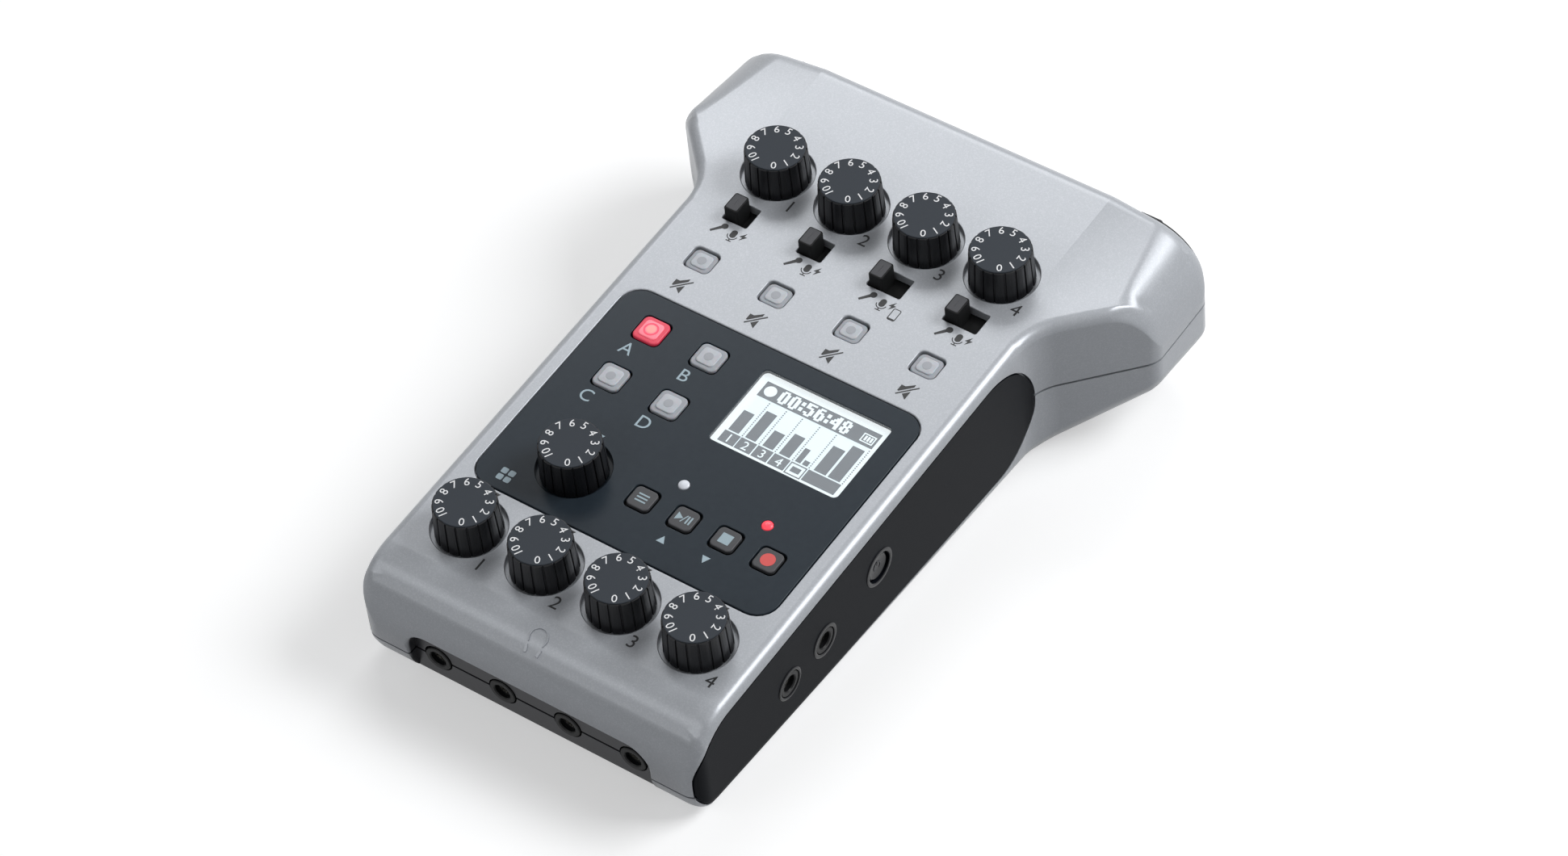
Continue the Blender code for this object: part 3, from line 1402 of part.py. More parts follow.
def main_board(frame):
    """Board under the control panel: pad control, key contacts and lamps."""
    w = BOARD_HALF_WIDTH
    low, high = MAIN_BOARD_FRONT, MAIN_BOARD_BACK
    board = board_plate("main_board", [(-w, low), (w, low), (w, high), (-w, high)], frame)
    join(board, potentiometer(PAD_KNOB_X, PAD_KNOB_Y, frame))
    cut(board, stem_hole(PAD_KNOB_X, PAD_KNOB_Y, frame))
    for x, y in list(pad_places().values()) + list(key_places().values()):
        join(board, tact_switch(x, y, frame))
    half = LAMP_RADIUS
    for x, _ in lamp_places().values():
        join(board, box("led", (x - half, LAMP_ROW_Y - half, -BOARD_TOP_DEPTH - BOARD_THICKNESS / 2),
                        (x + half, LAMP_ROW_Y + half, LAMP_LED_HEIGHT - BOARD_TOP_DEPTH), frame))
    stem_end = BODY_HALF_WIDTH - POWER_LENGTH - POWER_STEM_LENGTH - POWER_TRAVEL - SEAT_GAP
    half = POWER_SWITCH_WIDTH / 2
    join(board, box("power_switch", (stem_end - POWER_SWITCH_DEPTH, POWER_Y - half, -POWER_DEPTH - half),
                    (stem_end, POWER_Y + half, -BOARD_TOP_DEPTH - BOARD_THICKNESS / 2), frame))
    return board


def headphone_board(frame):
    """Board at the front: volume controls above, headphone jacks below."""
    w, nose = BOARD_HALF_WIDTH, PHONES_BOARD_NOSE_HALF
    front, step, back = PHONES_BOARD_FRONT, PHONES_BOARD_STEP_Y, MAIN_BOARD_FRONT - BOARD_SPLIT
    outline = [(-nose, front), (nose, front), (nose, step), (w, step),
               (w, back), (-w, back), (-w, step), (-nose, step)]
    board = board_plate("headphone_board", outline, frame)
    for x in COLUMN_X:
        join(board, potentiometer(x, PHONES_ROW_Y, frame))
        cut(board, stem_hole(x, PHONES_ROW_Y, frame))
    return board


# Batteries and feet

def batteries(base):
    """Two round cells side by side, pointing opposite ways."""
    height = COVER_THICKNESS + SEAT_GAP + BATTERY_RADIUS
    made = battery_sleeve()
    half = BATTERY_LENGTH / 2
    for i, side in enumerate((1, -1)):
        profile = [(BATTERY_RADIUS, -half), (BATTERY_RADIUS, half - BATTERY_NIPPLE),
                   (BATTERY_NIPPLE_RADIUS, half - BATTERY_NIPPLE), (BATTERY_NIPPLE_RADIUS, half)]
        mesh = turned_mesh("battery", profile, BATTERY_SEGMENTS)
        mesh.transform(Matrix.Rotation(side * math.pi / 2, 4, "Y"))
        place = (0.0, BAY_Y + (i - 0.5) * BAY_PITCH, height)
        finish(solid(f"battery_{i + 1}", mesh, base, place), made)


def contact_plate(name, side, spans, base):
    """Spring plate at one end of the bay, with a bump for each cell."""
    half_x, _ = bay_half()
    wall_x = half_x - SEAT_GAP
    inner = wall_x - CONTACT_THICKNESS
    centre = COVER_THICKNESS + SEAT_GAP + BATTERY_RADIUS
    low, high = centre - CONTACT_HEIGHT / 2, centre + CONTACT_HEIGHT / 2
    y_low, y_high = BAY_Y + spans[0], BAY_Y + spans[1]
    xs = sorted((side * inner, side * wall_x))
    plate = box(name, (xs[0], y_low, low), (xs[1], y_high, high), base)
    reach = BATTERY_LENGTH / 2 + SEAT_GAP
    for cell in (-0.5, 0.5):
        bump = turned_mesh("bump", [(CONTACT_BUMP_RADIUS, reach),
                                    (CONTACT_BUMP_RADIUS, wall_x - CONTACT_THICKNESS / 2)], POST_SEGMENTS)
        bump.transform(Matrix.Rotation(side * math.pi / 2, 4, "Y"))
        join(plate, solid("bump", bump, base, (0.0, BAY_Y + cell * BAY_PITCH, centre)))
    return finish(plate, plated_steel())


def battery_contacts(base):
    half = BAY_PITCH / 2 + CONTACT_HEIGHT / 2
    contact_plate("battery_bridge_contact", 1, (-half, half), base)
    contact_plate("battery_terminal_strip", -1, (-half, half), base)


def foot_places():
    return [(side * FOOT_X, y) for y in (FOOT_FRONT_Y, FOOT_BACK_Y) for side in (-1, 1)]


def rubber_feet(base):
    names = ("front_left_foot", "front_right_foot", "back_left_foot", "back_right_foot")
    made = foot_rubber()
    for name, (x, y) in zip(names, foot_places()):
        foot = peg(name, FOOT_RADIUS, -FOOT_PROUD, FOOT_THICKNESS - FOOT_PROUD, x, y, FOOT_SEGMENTS, base)
        finish(foot, made)


# Assembly

def stand_at_origin(root):
    """Move the recorder so that the middle of its base is the origin."""
    bpy.context.view_layer.update()
    corners = [obj.matrix_world @ v.co for obj in bpy.data.objects if obj.type == "MESH"
               for v in obj.data.vertices]
    low = Vector([min(c[i] for c in corners) for i in range(3)])
    high = Vector([max(c[i] for c in corners) for i in range(3)])
    middle = (low + high) / 2
    root.location = (-middle.x, -middle.y, -low.z)
    bpy.context.view_layer.update()


def main():
    clear_scene()
    root = frame_empty("recorder_frame")
    base = frame_empty("base_frame", root)
    deck = frame_empty("deck_frame", base)
    deck.location = (0.0, 0.0, DEPTH_AT_ORIGIN * math.cos(TILT))
    deck.rotation_euler = (TILT, 0.0, 0.0)
    bpy.context.view_layer.update()

    finish(top_shell(deck), painted_silver())
    finish(bottom_shell(deck, base), painted_silver())
    finish(right_side_panel(deck), black_moulding())
    finish(left_side_panel(deck), black_moulding())
    finish(battery_cover(base), painted_silver())
    finish(control_panel(deck), panel_plastic())
    finish(lcd_window(deck), display_glass())
    finish(lcd_module(deck), display_frame())
    knobs(deck)
    switch_caps(deck)
    mute_buttons(deck)
    sound_pads(deck)
    transport_keys(deck)
    light_pipes(deck)
    finish(power_button(deck), black_moulding())
    headphone_jacks(deck)
    side_jacks(deck)
    usb_ports(deck)
    finish(card_socket(deck), plated_steel())
    xlr_sockets(deck)
    finish(input_board(deck), circuit_board())
    finish(main_board(deck), circuit_board())
    finish(headphone_board(deck), circuit_board())
    batteries(base)
    battery_contacts(base)
    rubber_feet(base)
    stand_at_origin(root)


main()
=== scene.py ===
"""Looks of a portable four-channel podcast recorder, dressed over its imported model.

Shapes are made in millimetres, most of them in the deck frame: X to the right, Y
towards the microphone sockets and Z out of the control deck, whose surface is Z = 0.
DECK and BASE take them to the row frame, in metres, before a piece is shown.
"""
import json
import math

import bmesh
import bpy
from mathutils import Matrix, Vector
from mathutils.geometry import delaunay_2d_cdt


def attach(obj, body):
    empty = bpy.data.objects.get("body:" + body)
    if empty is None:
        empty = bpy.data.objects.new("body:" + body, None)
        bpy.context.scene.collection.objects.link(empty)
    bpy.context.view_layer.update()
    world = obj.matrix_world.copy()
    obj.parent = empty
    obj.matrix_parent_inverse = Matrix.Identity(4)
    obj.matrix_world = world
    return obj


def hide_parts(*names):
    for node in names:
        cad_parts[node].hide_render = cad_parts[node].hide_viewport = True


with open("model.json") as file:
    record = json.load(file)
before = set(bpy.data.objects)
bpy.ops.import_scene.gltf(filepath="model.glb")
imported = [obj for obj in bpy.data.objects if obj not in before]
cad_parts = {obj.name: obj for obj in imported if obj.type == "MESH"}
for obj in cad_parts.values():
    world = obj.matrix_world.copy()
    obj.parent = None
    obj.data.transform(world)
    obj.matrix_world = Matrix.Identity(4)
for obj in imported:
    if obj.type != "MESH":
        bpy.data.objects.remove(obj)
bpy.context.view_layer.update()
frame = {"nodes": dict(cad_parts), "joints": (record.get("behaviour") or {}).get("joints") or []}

MM = 0.001
SMOOTH_ANGLE = math.radians(32)
ON_LINE, NORMAL_WEIGHT = 0.01, 100
CROWN_STEPS = (0.25, 0.5, 0.75, 0.92)
MITRE_LIMIT = 0.35
FOUR = (-1.5, -0.5, 0.5, 1.5)

# Casing, as in the CAD model
BODY_HALF_WIDTH = 39.2
HEAD_HALF_WIDTH = 56.2
FRONT_REACH = 71.3
BACK_REACH = 83.3
FLARE_START = 44.5
FLARE_END = 62.5
FRONT_CORNER_RADIUS = 4.2
WAIST_RADIUS = 12.0
WING_CORNER_RADIUS = 5.0
BACK_CORNER_RADIUS = 4.2
TILT = math.radians(5.93)
DEPTH_AT_ORIGIN = 31.6
DEPTH_GRADIENT = math.tan(TILT)
SEAM_DEPTH, SEAM_GAP = 17.8, 0.3
WALL = 2.0
TOP_EDGE_RADIUS, LOW_EDGE_RADIUS, INNER_EDGE_RADIUS = 2.4, 3.8, 0.6
TOP_FRONT_RADIUS, LOW_FRONT_RADIUS = 11.0, 5.5
CREASE_X = 34.2
WING_SLOPE = math.tan(math.radians(8.0))
WING_SLOPE_START = 50.0
WING_ROUND_FLANK_X, WING_ROUND_BACK_X = 51.0, 44.0
WING_ROUND_OVERHANG, WING_ROUND_DEPTH = 0.2, 14.0
WING_UNDER_SLOPE = 0.66
CORNER_STEPS, EDGE_STEPS, ROUND_STEPS = 10, 7, 10
CELL_MARGIN = 0.8
OVERRUN = 6.0
CLIP_SKIN = 0.5
SEAT_GAP = 0.3
BELOW_ALL = -(DEPTH_AT_ORIGIN + BACK_REACH)

# Casing, as looks need it: a seam dark enough to see, and lines that keep the wings' shading even
SEAM_SHADOW = 0.55
WING_STEPS = 5
# Fine arcs reach further than the CAD model's coarse ones, so the ends are drawn in by a hair
DRAW_IN_FRONT, DRAW_IN_BACK, DRAW_IN_SHARE = -60.0, 75.0, 0.989

# Side panels
SIDE_PANEL_THICKNESS, SIDE_PANEL_EDGE_GAP, SIDE_PANEL_WRAP = 0.9, 0.3, 2.0
SIDE_FRONT, SIDE_BACK, SIDE_TOP = -70.2, 43.2, -2.8
SIDE_LOW_FRONT, SIDE_LOW_BACK = -22.2, -31.8
SIDE_FRONT_TOP_RADIUS, SIDE_BACK_TOP_RADIUS = 11.2, 15.0
SIDE_BACK_LOW_RADIUS, SIDE_FRONT_LOW_RADIUS = 12.0, 6.2
SIDE_CORNER_STEPS = 14
POWER_Y, POWER_DEPTH, POWER_RADIUS = -10.4, 13.4, 3.1
SMARTPHONE_JACK_Y, LINE_JACK_Y = -29.1, -40.9
SIDE_JACK_DEPTH = 15.2
USB_Y = (10.0, 27.0)
USB_DEPTH, USB_WIDTH, USB_HEIGHT = 14.4, 9.0, 3.3
USB_WALL, USB_LENGTH, USB_CAVITY = 0.4, 7.6, 6.0
USB_MOUTH_CORNER = 0.85
# The port's tongue: (thickness, width, corner, height) from root to tip
USB_TONGUE = ((0.8, 6.6, 0.3, -USB_CAVITY - USB_WALL), (0.8, 6.6, 0.3, -0.6), (0.6, 6.4, 0.2, -0.45))
CARD_Y, CARD_DEPTH = -28.5, 14.3
CARD_BODY_WIDTH, CARD_BODY_HEIGHT = 27.0, 3.0
RUN_GAP = 0.25
# Rims around the right side's openings: (name, inner and outer radius, place along Y, depth)
RIM_RISE, RIM_ROOT, RIM_BEVEL, RIM_FOOT_SHARE, RIM_SHOULDER_SHARE = 0.22, -0.3, 0.12, 0.35, 0.8
RIMS = (("power_button_rim", 3.45, 4.25, POWER_Y, POWER_DEPTH),
        ("smartphone_jack_rim", 2.98, 3.75, SMARTPHONE_JACK_Y, SIDE_JACK_DEPTH),
        ("line_jack_rim", 2.98, 3.60, LINE_JACK_Y, SIDE_JACK_DEPTH))

# Deck controls
KNOB_PITCH = 17.6
COLUMNS = [KNOB_PITCH * k for k in FOUR]
GAIN_ROW_Y, PHONES_ROW_Y = 53.8, -50.4
PAD_KNOB_X, PAD_KNOB_Y = -17.6, -28.5
WELL_RADIUS, WELL_DEPTH, CUP_WALL, CUP_TOP = 7.5, 1.2, 0.8, -0.5
SWITCH_ROW_Y, SLOT_HEIGHT, SLOT_CORNER = 41.0, 5.4, 0.35
SLOT_WIDTHS = (5.7, 5.7, 7.7, 7.7)
CAP_WIDTH, CAP_LENGTH, CAP_END_GAP = 3.2, 4.6, 0.25
MUTE_ROW_Y, MUTE_HOLE_WIDTH, MUTE_HOLE_LENGTH, KEY_CORNER = 27.1, 6.1, 5.8, 1.3
PANEL_WIDTH, PANEL_LENGTH, PANEL_Y = 69.0, 55.5, -12.55
PANEL_CORNER, PANEL_THICKNESS, PANEL_GAP = 4.5, 1.0, 0.25
PANEL_LEDGE, PANEL_OPENING_CORNER = 3.0, 1.5
PAD_PITCH, PAD_ROW_Y, PAD_HOLE = 13.6, 0.2, 6.6
KEY_ROW_X, KEY_ROW_Y, KEY_PITCH, KEY_HOLE = 12.5, -28.1, 9.6, 5.9
KEY_XS = [KEY_ROW_X + KEY_PITCH * k for k in FOUR]
LAMP_ROW_Y, LAMP_RADIUS, LAMP_GAP = -21.2, 1.15, 0.1
LCD_X, LCD_Y, LCD_WIDTH, LCD_LENGTH, LCD_CORNER, LCD_GAP = 14.85, 0.6, 29.3, 19.7, 1.0, 0.1
LCD_TOP = LCD_Y + LCD_LENGTH / 2

# Rolled edges: radii where a moulding or a plate meets its neighbour
DECK_MOUTH_EDGE, PANEL_MOUTH_EDGE, LAMP_MOUTH_EDGE, LCD_MOUTH_EDGE = 0.25, 0.15, 0.05, 0.1
PANEL_EDGE, GLASS_EDGE, SCOOP_EDGE = 0.2, 0.15, 0.8
LEAST_CORNER = 0.12

# Sockets
PHONES_JACK_PITCH, JACK_RADIUS, JACK_BORE_RADIUS = 15.1, 2.9, 1.78
JACK_XS = [PHONES_JACK_PITCH * k for k in FOUR]
SCOOP_HALF_WIDTH, SCOOP_TOP_DEPTH, SCOOP_CORNER, SCOOP_DEPTH = 28.0, 10.4, 5.0, 2.4
SCOOP_BACKING, SCOOP_BACKING_MARGIN, JACK_PROUD = 2.4, 1.8, 0.2
XLR_PITCH, XLR_DEPTH, XLR_FLANGE_RADIUS, XLR_PROUD = 27.0, 18.0, 12.2, 3.0
XLR_XS = [XLR_PITCH * k for k in FOUR]
XLR_PIN_CIRCLE = 4.0
XLR_LATCH_Y, XLR_LATCH_SIZE, XLR_LATCH_CORNER = -10.9, (5.2, 1.7), 0.5
XLR_LATCH_HEIGHT, XLR_LATCH_EDGE = 1.0, 0.25

# Underside, in the base frame
BATTERY_RADIUS, BATTERY_LENGTH, BAY_Y, BAY_PITCH = 7.1, 50.0, 10.3, 14.7
BAY_END_ROOM, BAY_WALL, BAY_FLOOR = 2.8, 1.2, 1.0
COVER_THICKNESS, COVER_LAP, COVER_CORNER = 1.6, 2.4, 2.0
COVER_LIP_THICKNESS, COVER_LIP_LOW, COVER_LIP_TOP = 1.0, 0.8, 2.6
COVER_RIBS, COVER_RIB_PITCH, COVER_RIB_INSET = 6, 1.7, 1.5
FOOT_X, FOOT_FRONT_Y, FOOT_BACK_Y = 27.0, -50.0, 71.0
FOOT_RADIUS, FOOT_THICKNESS, FOOT_PROUD = 4.0, 1.4, 0.8
SCREWS = ((32.2, -59.8), (-32.2, -59.8), (42.5, 56.2), (-42.5, 56.2))
SCREW_HEAD_RADIUS, SCREW_SEAT_DEPTH, SCREW_ROOM, BOSS_RADIUS = 2.8, 22.5, 0.2, 3.7

# Print
PRINT = 0.03
CHANNEL_NUMBER_HEIGHT, PAD_LETTER_HEIGHT, DIAL_NUMBER_HEIGHT = 2.9, 2.9, 1.72
POINTER_WIDTH, POINTER_HEIGHT, POINTER_CLEARANCE = 1.5, 1.3, 1.15
PRINT_MERGE = 0.001


def joint_named(name):
    return next(j for j in frame["joints"] if j["name"] == name)


def deck_matrix():
    """The deck frame in the row frame, found from the pad knob's joint."""
    pad = joint_named("sound_pad_turn")
    up, across = Vector(pad["axis"]).normalized(), Vector((1, 0, 0))
    turn = Matrix((across, up.cross(across), up)).transposed()
    place = Vector(pad["pos_m"]) - turn @ Vector((PAD_KNOB_X, PAD_KNOB_Y, 0)) * MM
    return Matrix.Translation(place) @ turn.to_4x4()


DECK_TURN = deck_matrix()
DECK = DECK_TURN @ Matrix.Scale(MM, 4)
BASE = Matrix.Translation(DECK_TURN.translation - Vector((0, 0, DEPTH_AT_ORIGIN * math.cos(TILT) * MM)))
BASE = BASE @ Matrix.Scale(MM, 4)


# Materials

def linear(hex_color):
    """An sRGB hex colour as a linear colour with full alpha."""
    values = [int(hex_color[i:i + 2], 16) / 255 for i in (1, 3, 5)]
    return tuple(v / 12.92 if v <= 0.04045 else ((v + 0.055) / 1.055) ** 2.4 for v in values) + (1.0,)


def add(tree, kind, inputs=None, **settings):
    """Add a node, give it its settings, and set or link its inputs."""
    made = tree.nodes.new(kind)
    for key, value in settings.items():
        setattr(made, key, value)
    for socket, value in (inputs or {}).items():
        if isinstance(value, bpy.types.NodeSocket):
            tree.links.new(value, made.inputs[socket])
        else:
            made.inputs[socket].default_value = value
    return made


def bare_tree(holder):
    """The emptied shader tree of a material or a world."""
    holder.use_nodes = True
    holder.node_tree.nodes.clear()
    return holder.node_tree


def surface(slot, name, light, dark, roughness, grain, relief, **shader):
    """A finish, as (material, slot), that wanders between two shades with one grain.

    The grain, in millimetres, also roughens the gloss and lifts the surface by the
    relief. The grain of a moulding or a print is about 0.05 mm, too fine to show, so it
    is drawn at 0.2 mm or more. Further names are sockets of the shader, with _ for a space.
    """
    made = bpy.data.materials.new(name)
    tree = bare_tree(made)
    place = add(tree, "ShaderNodeTexCoord")
    noise = add(tree, "ShaderNodeTexNoise", {"Vector": place.outputs["Object"], "Scale": 1 / (grain * MM),
                                             "Detail": 2.0, "Roughness": 0.6})
    shade = add(tree, "ShaderNodeMix", {0: noise.outputs["Fac"], 6: linear(dark), 7: linear(light)},
                data_type="RGBA")
    gloss = add(tree, "ShaderNodeMapRange", {"Value": noise.outputs["Fac"], "To Min": roughness[0],
                                             "To Max": roughness[1]})
    bump = add(tree, "ShaderNodeBump", {"Height": noise.outputs["Fac"], "Distance": relief * MM,
                                        "Strength": 1.0})
    bsdf = add(tree, "ShaderNodeBsdfPrincipled", {
        "Base Color": shade.outputs[2], "Roughness": gloss.outputs["Result"],
        "Normal": bump.outputs["Normal"]})
    for socket, value in shader.items():
        bsdf.inputs[socket.replace("_", " ")].default_value = value
    add(tree, "ShaderNodeOutputMaterial", {"Surface": bsdf.outputs["BSDF"]})
    return made, slot


# Metal flake is about 0.03 mm across; it is drawn at 0.22 mm as lighter specks in the colour, a painted glint
# that stands for its sparkle
FLAKE_SIZE, FLAKE_THRESHOLD, FLAKE_SHARE = 0.22, 0.55, 0.22
# Where the scoop's painted shade runs from none to full: (axis, start, end) in the deck frame
SCOOP_SHADE = (("Y", 0.35 - FRONT_REACH, 1.1 - FRONT_REACH),
               ("Z", 0.5 - SCOOP_TOP_DEPTH, -0.3 - SCOOP_TOP_DEPTH),
               ("X", SCOOP_HALF_WIDTH + 1.2, SCOOP_HALF_WIDTH + 0.4),
               ("Y", 6.0 - FRONT_REACH, 5.0 - FRONT_REACH))


def satin_silver():
    """Silver paint on moulded ABS: metal flake under a satin lacquer, drawn as lighter specks of painted
    glint.

    The front scoop's recess gets a painted shade: a darker grey.
    """
    made, slot = surface("painted_silver", "satin_silver_paint", "#aeb2b8", "#a3a7ad", (0.28, 0.35), 0.35,
                         0.004, Metallic=0.20, Specular_IOR_Level=0.4)
    tree = made.node_tree
    bsdf = next(n for n in tree.nodes if n.type == "BSDF_PRINCIPLED")
    shade = bsdf.inputs["Base Color"].links[0].from_socket
    place = next(n for n in tree.nodes if n.type == "TEX_COORD")
    flakes = add(tree, "ShaderNodeTexVoronoi", {"Vector": place.outputs["Object"],
                                                "Scale": 1 / (FLAKE_SIZE * MM)})
    pick = add(tree, "ShaderNodeSeparateColor", {"Color": flakes.outputs["Color"]})
    share = add(tree, "ShaderNodeMapRange", {"Value": pick.outputs[0], "From Min": FLAKE_THRESHOLD,
                                             "To Max": FLAKE_SHARE})
    # Painted glint: random flake cells are mixed towards a lighter silver
    painted_glint = add(tree, "ShaderNodeMix", {0: share.outputs["Result"], 6: shade, 7: linear("#ced1d6")},
                data_type="RGBA")
    local = add(tree, "ShaderNodeMapping", {
        "Vector": place.outputs["Object"], "Location": DECK_TURN.translation,
        "Rotation": DECK_TURN.to_euler(), "Scale": (1.0, 1.0, 1.0)}, vector_type="TEXTURE")
    axes = add(tree, "ShaderNodeSeparateXYZ", {"Vector": local.outputs["Vector"]})
    mirrored = add(tree, "ShaderNodeMath", {0: axes.outputs["X"]}, operation="ABSOLUTE")
    sources = {"X": mirrored.outputs[0], "Y": axes.outputs["Y"], "Z": axes.outputs["Z"]}
    depth = 1.0
    for axis, start, end in SCOOP_SHADE:
        part = add(tree, "ShaderNodeMapRange", {"Value": sources[axis], "From Min": start * MM,
                                                "From Max": end * MM})
        both = add(tree, "ShaderNodeMath", {0: depth, 1: part.outputs["Result"]}, operation="MULTIPLY")
        depth = both.outputs[0]
    # Painted shade: the scoop's recess is drawn in a darker grey
    shaded_paint = add(tree, "ShaderNodeMix", {0: depth, 6: painted_glint.outputs[2], 7: linear("#34353a")},
                       data_type="RGBA")
    tree.links.new(shaded_paint.outputs[2], bsdf.inputs["Base Color"])
    return made, slot


DISPLAY_GLOW = 0.90
DISPLAY_RIM = 2.2


def backlight():
    """Liquid crystal cell over a white backlight: pale blue, brighter along its rim."""
    made = bpy.data.materials.new("lit_display_cell")
    tree = bare_tree(made)
    place = add(tree, "ShaderNodeTexCoord")
    centre = DECK @ Vector((LCD_X, LCD_Y, 0))
    local = add(tree, "ShaderNodeMapping", {"Vector": place.outputs["Object"], "Location": -centre},
                vector_type="POINT")
    axes = add(tree, "ShaderNodeSeparateXYZ", {"Vector": local.outputs["Vector"]})
    rims = []
    for axis, half in (("X", LCD_WIDTH / 2 * MM), ("Y", LCD_LENGTH / 2 * MM)):
        side = add(tree, "ShaderNodeMath", {0: axes.outputs[axis]}, operation="ABSOLUTE")
        rims.append(add(tree, "ShaderNodeMapRange", {"Value": side.outputs[0], "From Max": half,
                                                     "From Min": half - DISPLAY_RIM * MM, "To Max": 1.0}))
    rim = add(tree, "ShaderNodeMath", {0: rims[0].outputs[0], 1: rims[1].outputs[0]}, operation="MAXIMUM")
    tone = add(tree, "ShaderNodeMix", {0: rim.outputs[0], 6: linear("#dcecf3"), 7: linear("#f4fbfd")},
               data_type="RGBA")
    bsdf = add(tree, "ShaderNodeBsdfPrincipled", {
        "Base Color": linear("#8e979b"), "Roughness": 0.5, "Emission Color": tone.outputs[2],
        "Emission Strength": DISPLAY_GLOW})
    add(tree, "ShaderNodeOutputMaterial", {"Surface": bsdf.outputs["BSDF"]})
    return made, "display_frame"


SILVER = satin_silver()
# Moulded ABS, spark eroded to a fine satin: a soft wide sheen on black
BLACK_SATIN = surface("black_moulding", "black_satin_abs", "#11141a", "#0d1015", (0.30, 0.40), 0.30, 0.005,
                      Specular_IOR_Level=0.03)
# Moulded ABS, polished on rims and the power button: small bright highlights
BLACK_GLOSS = surface("black_moulding", "black_gloss_abs", "#1b1d21", "#17191d", (0.20, 0.28), 0.30, 0.003,
                      Specular_IOR_Level=0.25)
# Matt black: the own colour of the slider bodies, port tongues and socket inserts, and painted shade on the
# key bases down in the gaps, which are really silicone or grey key plastic
BLACK_MATT_AND_GAP_SHADE = surface("black_moulding", "black_matt_abs_and_gap_shade", "#0c0d0e", "#08090a", (0.55, 0.70), 0.30, 0.004,
                    Specular_IOR_Level=0.2)
# Moulded ABS dyed grey: an even satin, a step lighter than the black around it
CAP_GREY = surface("black_moulding", "grey_satin_abs", "#47484c", "#3e3f43", (0.40, 0.52), 0.25, 0.004,
                   Specular_IOR_Level=0.25)
# Moulded ABS with fine pebbling: ribs that catch a thin line of light
KNOB_GRIP = surface("knob_plastic", "knob_grip_abs", "#17181b", "#101114", (0.34, 0.46), 0.22, 0.008,
                    Specular_IOR_Level=0.3)
# Sprayed soft-touch coat: a matt, slightly blue top that spreads all highlights
KNOB_DIAL = surface("knob_plastic", "knob_dial_soft_touch", "#3a3f46", "#32373d", (0.58, 0.72), 0.18, 0.010,
                    Specular_IOR_Level=0.2)
# Pad-printed inks: flat, opaque and crisp against satin plastic
WHITE_INK = surface("knob_plastic", "white_pad_print", "#f0f1f3", "#e2e4e7", (0.50, 0.60), 0.20, 0.002)
BLACK_INK = surface("painted_silver", "black_pad_print", "#1d1e20", "#151618", (0.45, 0.55), 0.20, 0.002)
PALE_INK = surface("panel_plastic", "blue_grey_pad_print", "#a9bcc6", "#9cb0bb", (0.45, 0.55), 0.20, 0.002)
# Acrylic plate with a dark slate print behind it: deep colour under a clear, level gloss
PANEL = surface("panel_plastic", "slate_acrylic_plate", "#2b343c", "#272f37", (0.20, 0.26), 1.5, 0.001,
                Specular_IOR_Level=0.15)
# Frosted silicone, moulded: cloudy, with slightly see-through edges
FROST = {"Subsurface_Weight": 0.25, "Subsurface_Scale": 0.0008}
FROST_OUTER = surface("clear_rubber", "frosted_silicone", "#a2a6ad", "#969aa1", (0.42, 0.52), 0.5,
                      0.006, **FROST)
FROST_INNER = surface("clear_rubber", "frosted_silicone_crown", "#bfc3ca", "#b3b7be", (0.36, 0.46), 0.6,
                      0.006, **FROST)
FROST_SPOT = surface("clear_rubber", "frosted_silicone_spot", "#a6a9b0", "#9da0a7", (0.40, 0.50), 0.4, 0.006)
# The same silicone with a red lamp lit behind it: a glow that is strongest in the middle
LIT_OUTER = surface("lit_rubber", "lit_silicone_skirt", "#d8435a", "#c93a50", (0.38, 0.48), 0.5, 0.004,
                    Emission_Color=linear("#d8304a"), Emission_Strength=0.22)
LIT_INNER = surface("lit_rubber", "lit_silicone_crown", "#f48a98", "#ee7a8a", (0.34, 0.44), 0.6, 0.004,
                    Emission_Color=linear("#ff6a7e"), Emission_Strength=0.35)
LIT_RING = surface("lit_rubber", "lit_silicone_ring", "#f04f69", "#ea4660", (0.34, 0.44), 0.6, 0.003,
                   Emission_Color=linear("#ff3c58"), Emission_Strength=0.35)
LIT_SPOT = surface("lit_rubber", "lit_silicone_spot", "#ff9a94", "#fb8f8a", (0.34, 0.44), 0.6, 0.003,
                   Emission_Color=linear("#ff8078"), Emission_Strength=0.5)
# Moulded ABS keys: a dark satin with a soft highlight along the rolled edge
KEY_CAP = surface("key_plastic", "key_cap_abs", "#4b4c4f", "#434447", (0.36, 0.46), 0.25, 0.006,
                  Specular_IOR_Level=0.25)
# Printed glyphs: flat colour, a little glossier than the key
KEY_INK = surface("key_plastic", "key_glyph_print", "#9fb3bc", "#93a8b2", (0.40, 0.50), 0.20, 0.002)
RED_INK = surface("key_plastic", "red_glyph_print", "#dc5451", "#cf4a48", (0.40, 0.50), 0.20, 0.002)
# Liquid crystal: dark segments stay grey-blue, cleared ones let the backlight through
LCD_CELL = backlight()
LCD_DARK = surface("display_frame", "display_segments", "#67717a", "#616b74", (0.45, 0.55), 0.3, 0.001)
LCD_WHITE = surface("display_frame", "display_cleared_segments", "#8e9699", "#8a9295", (0.45, 0.55), 0.3,
                    0.001, Emission_Color=linear("#e4f2f8"), Emission_Strength=DISPLAY_GLOW)
# Clear acrylic window: hard coat, hardly any tint, a faint level gloss
WINDOW = surface("display_glass", "clear_acrylic_window", "#ffffff", "#fbfdfe", (0.04, 0.06), 3.0, 0.0002,
                 Alpha=0.08)
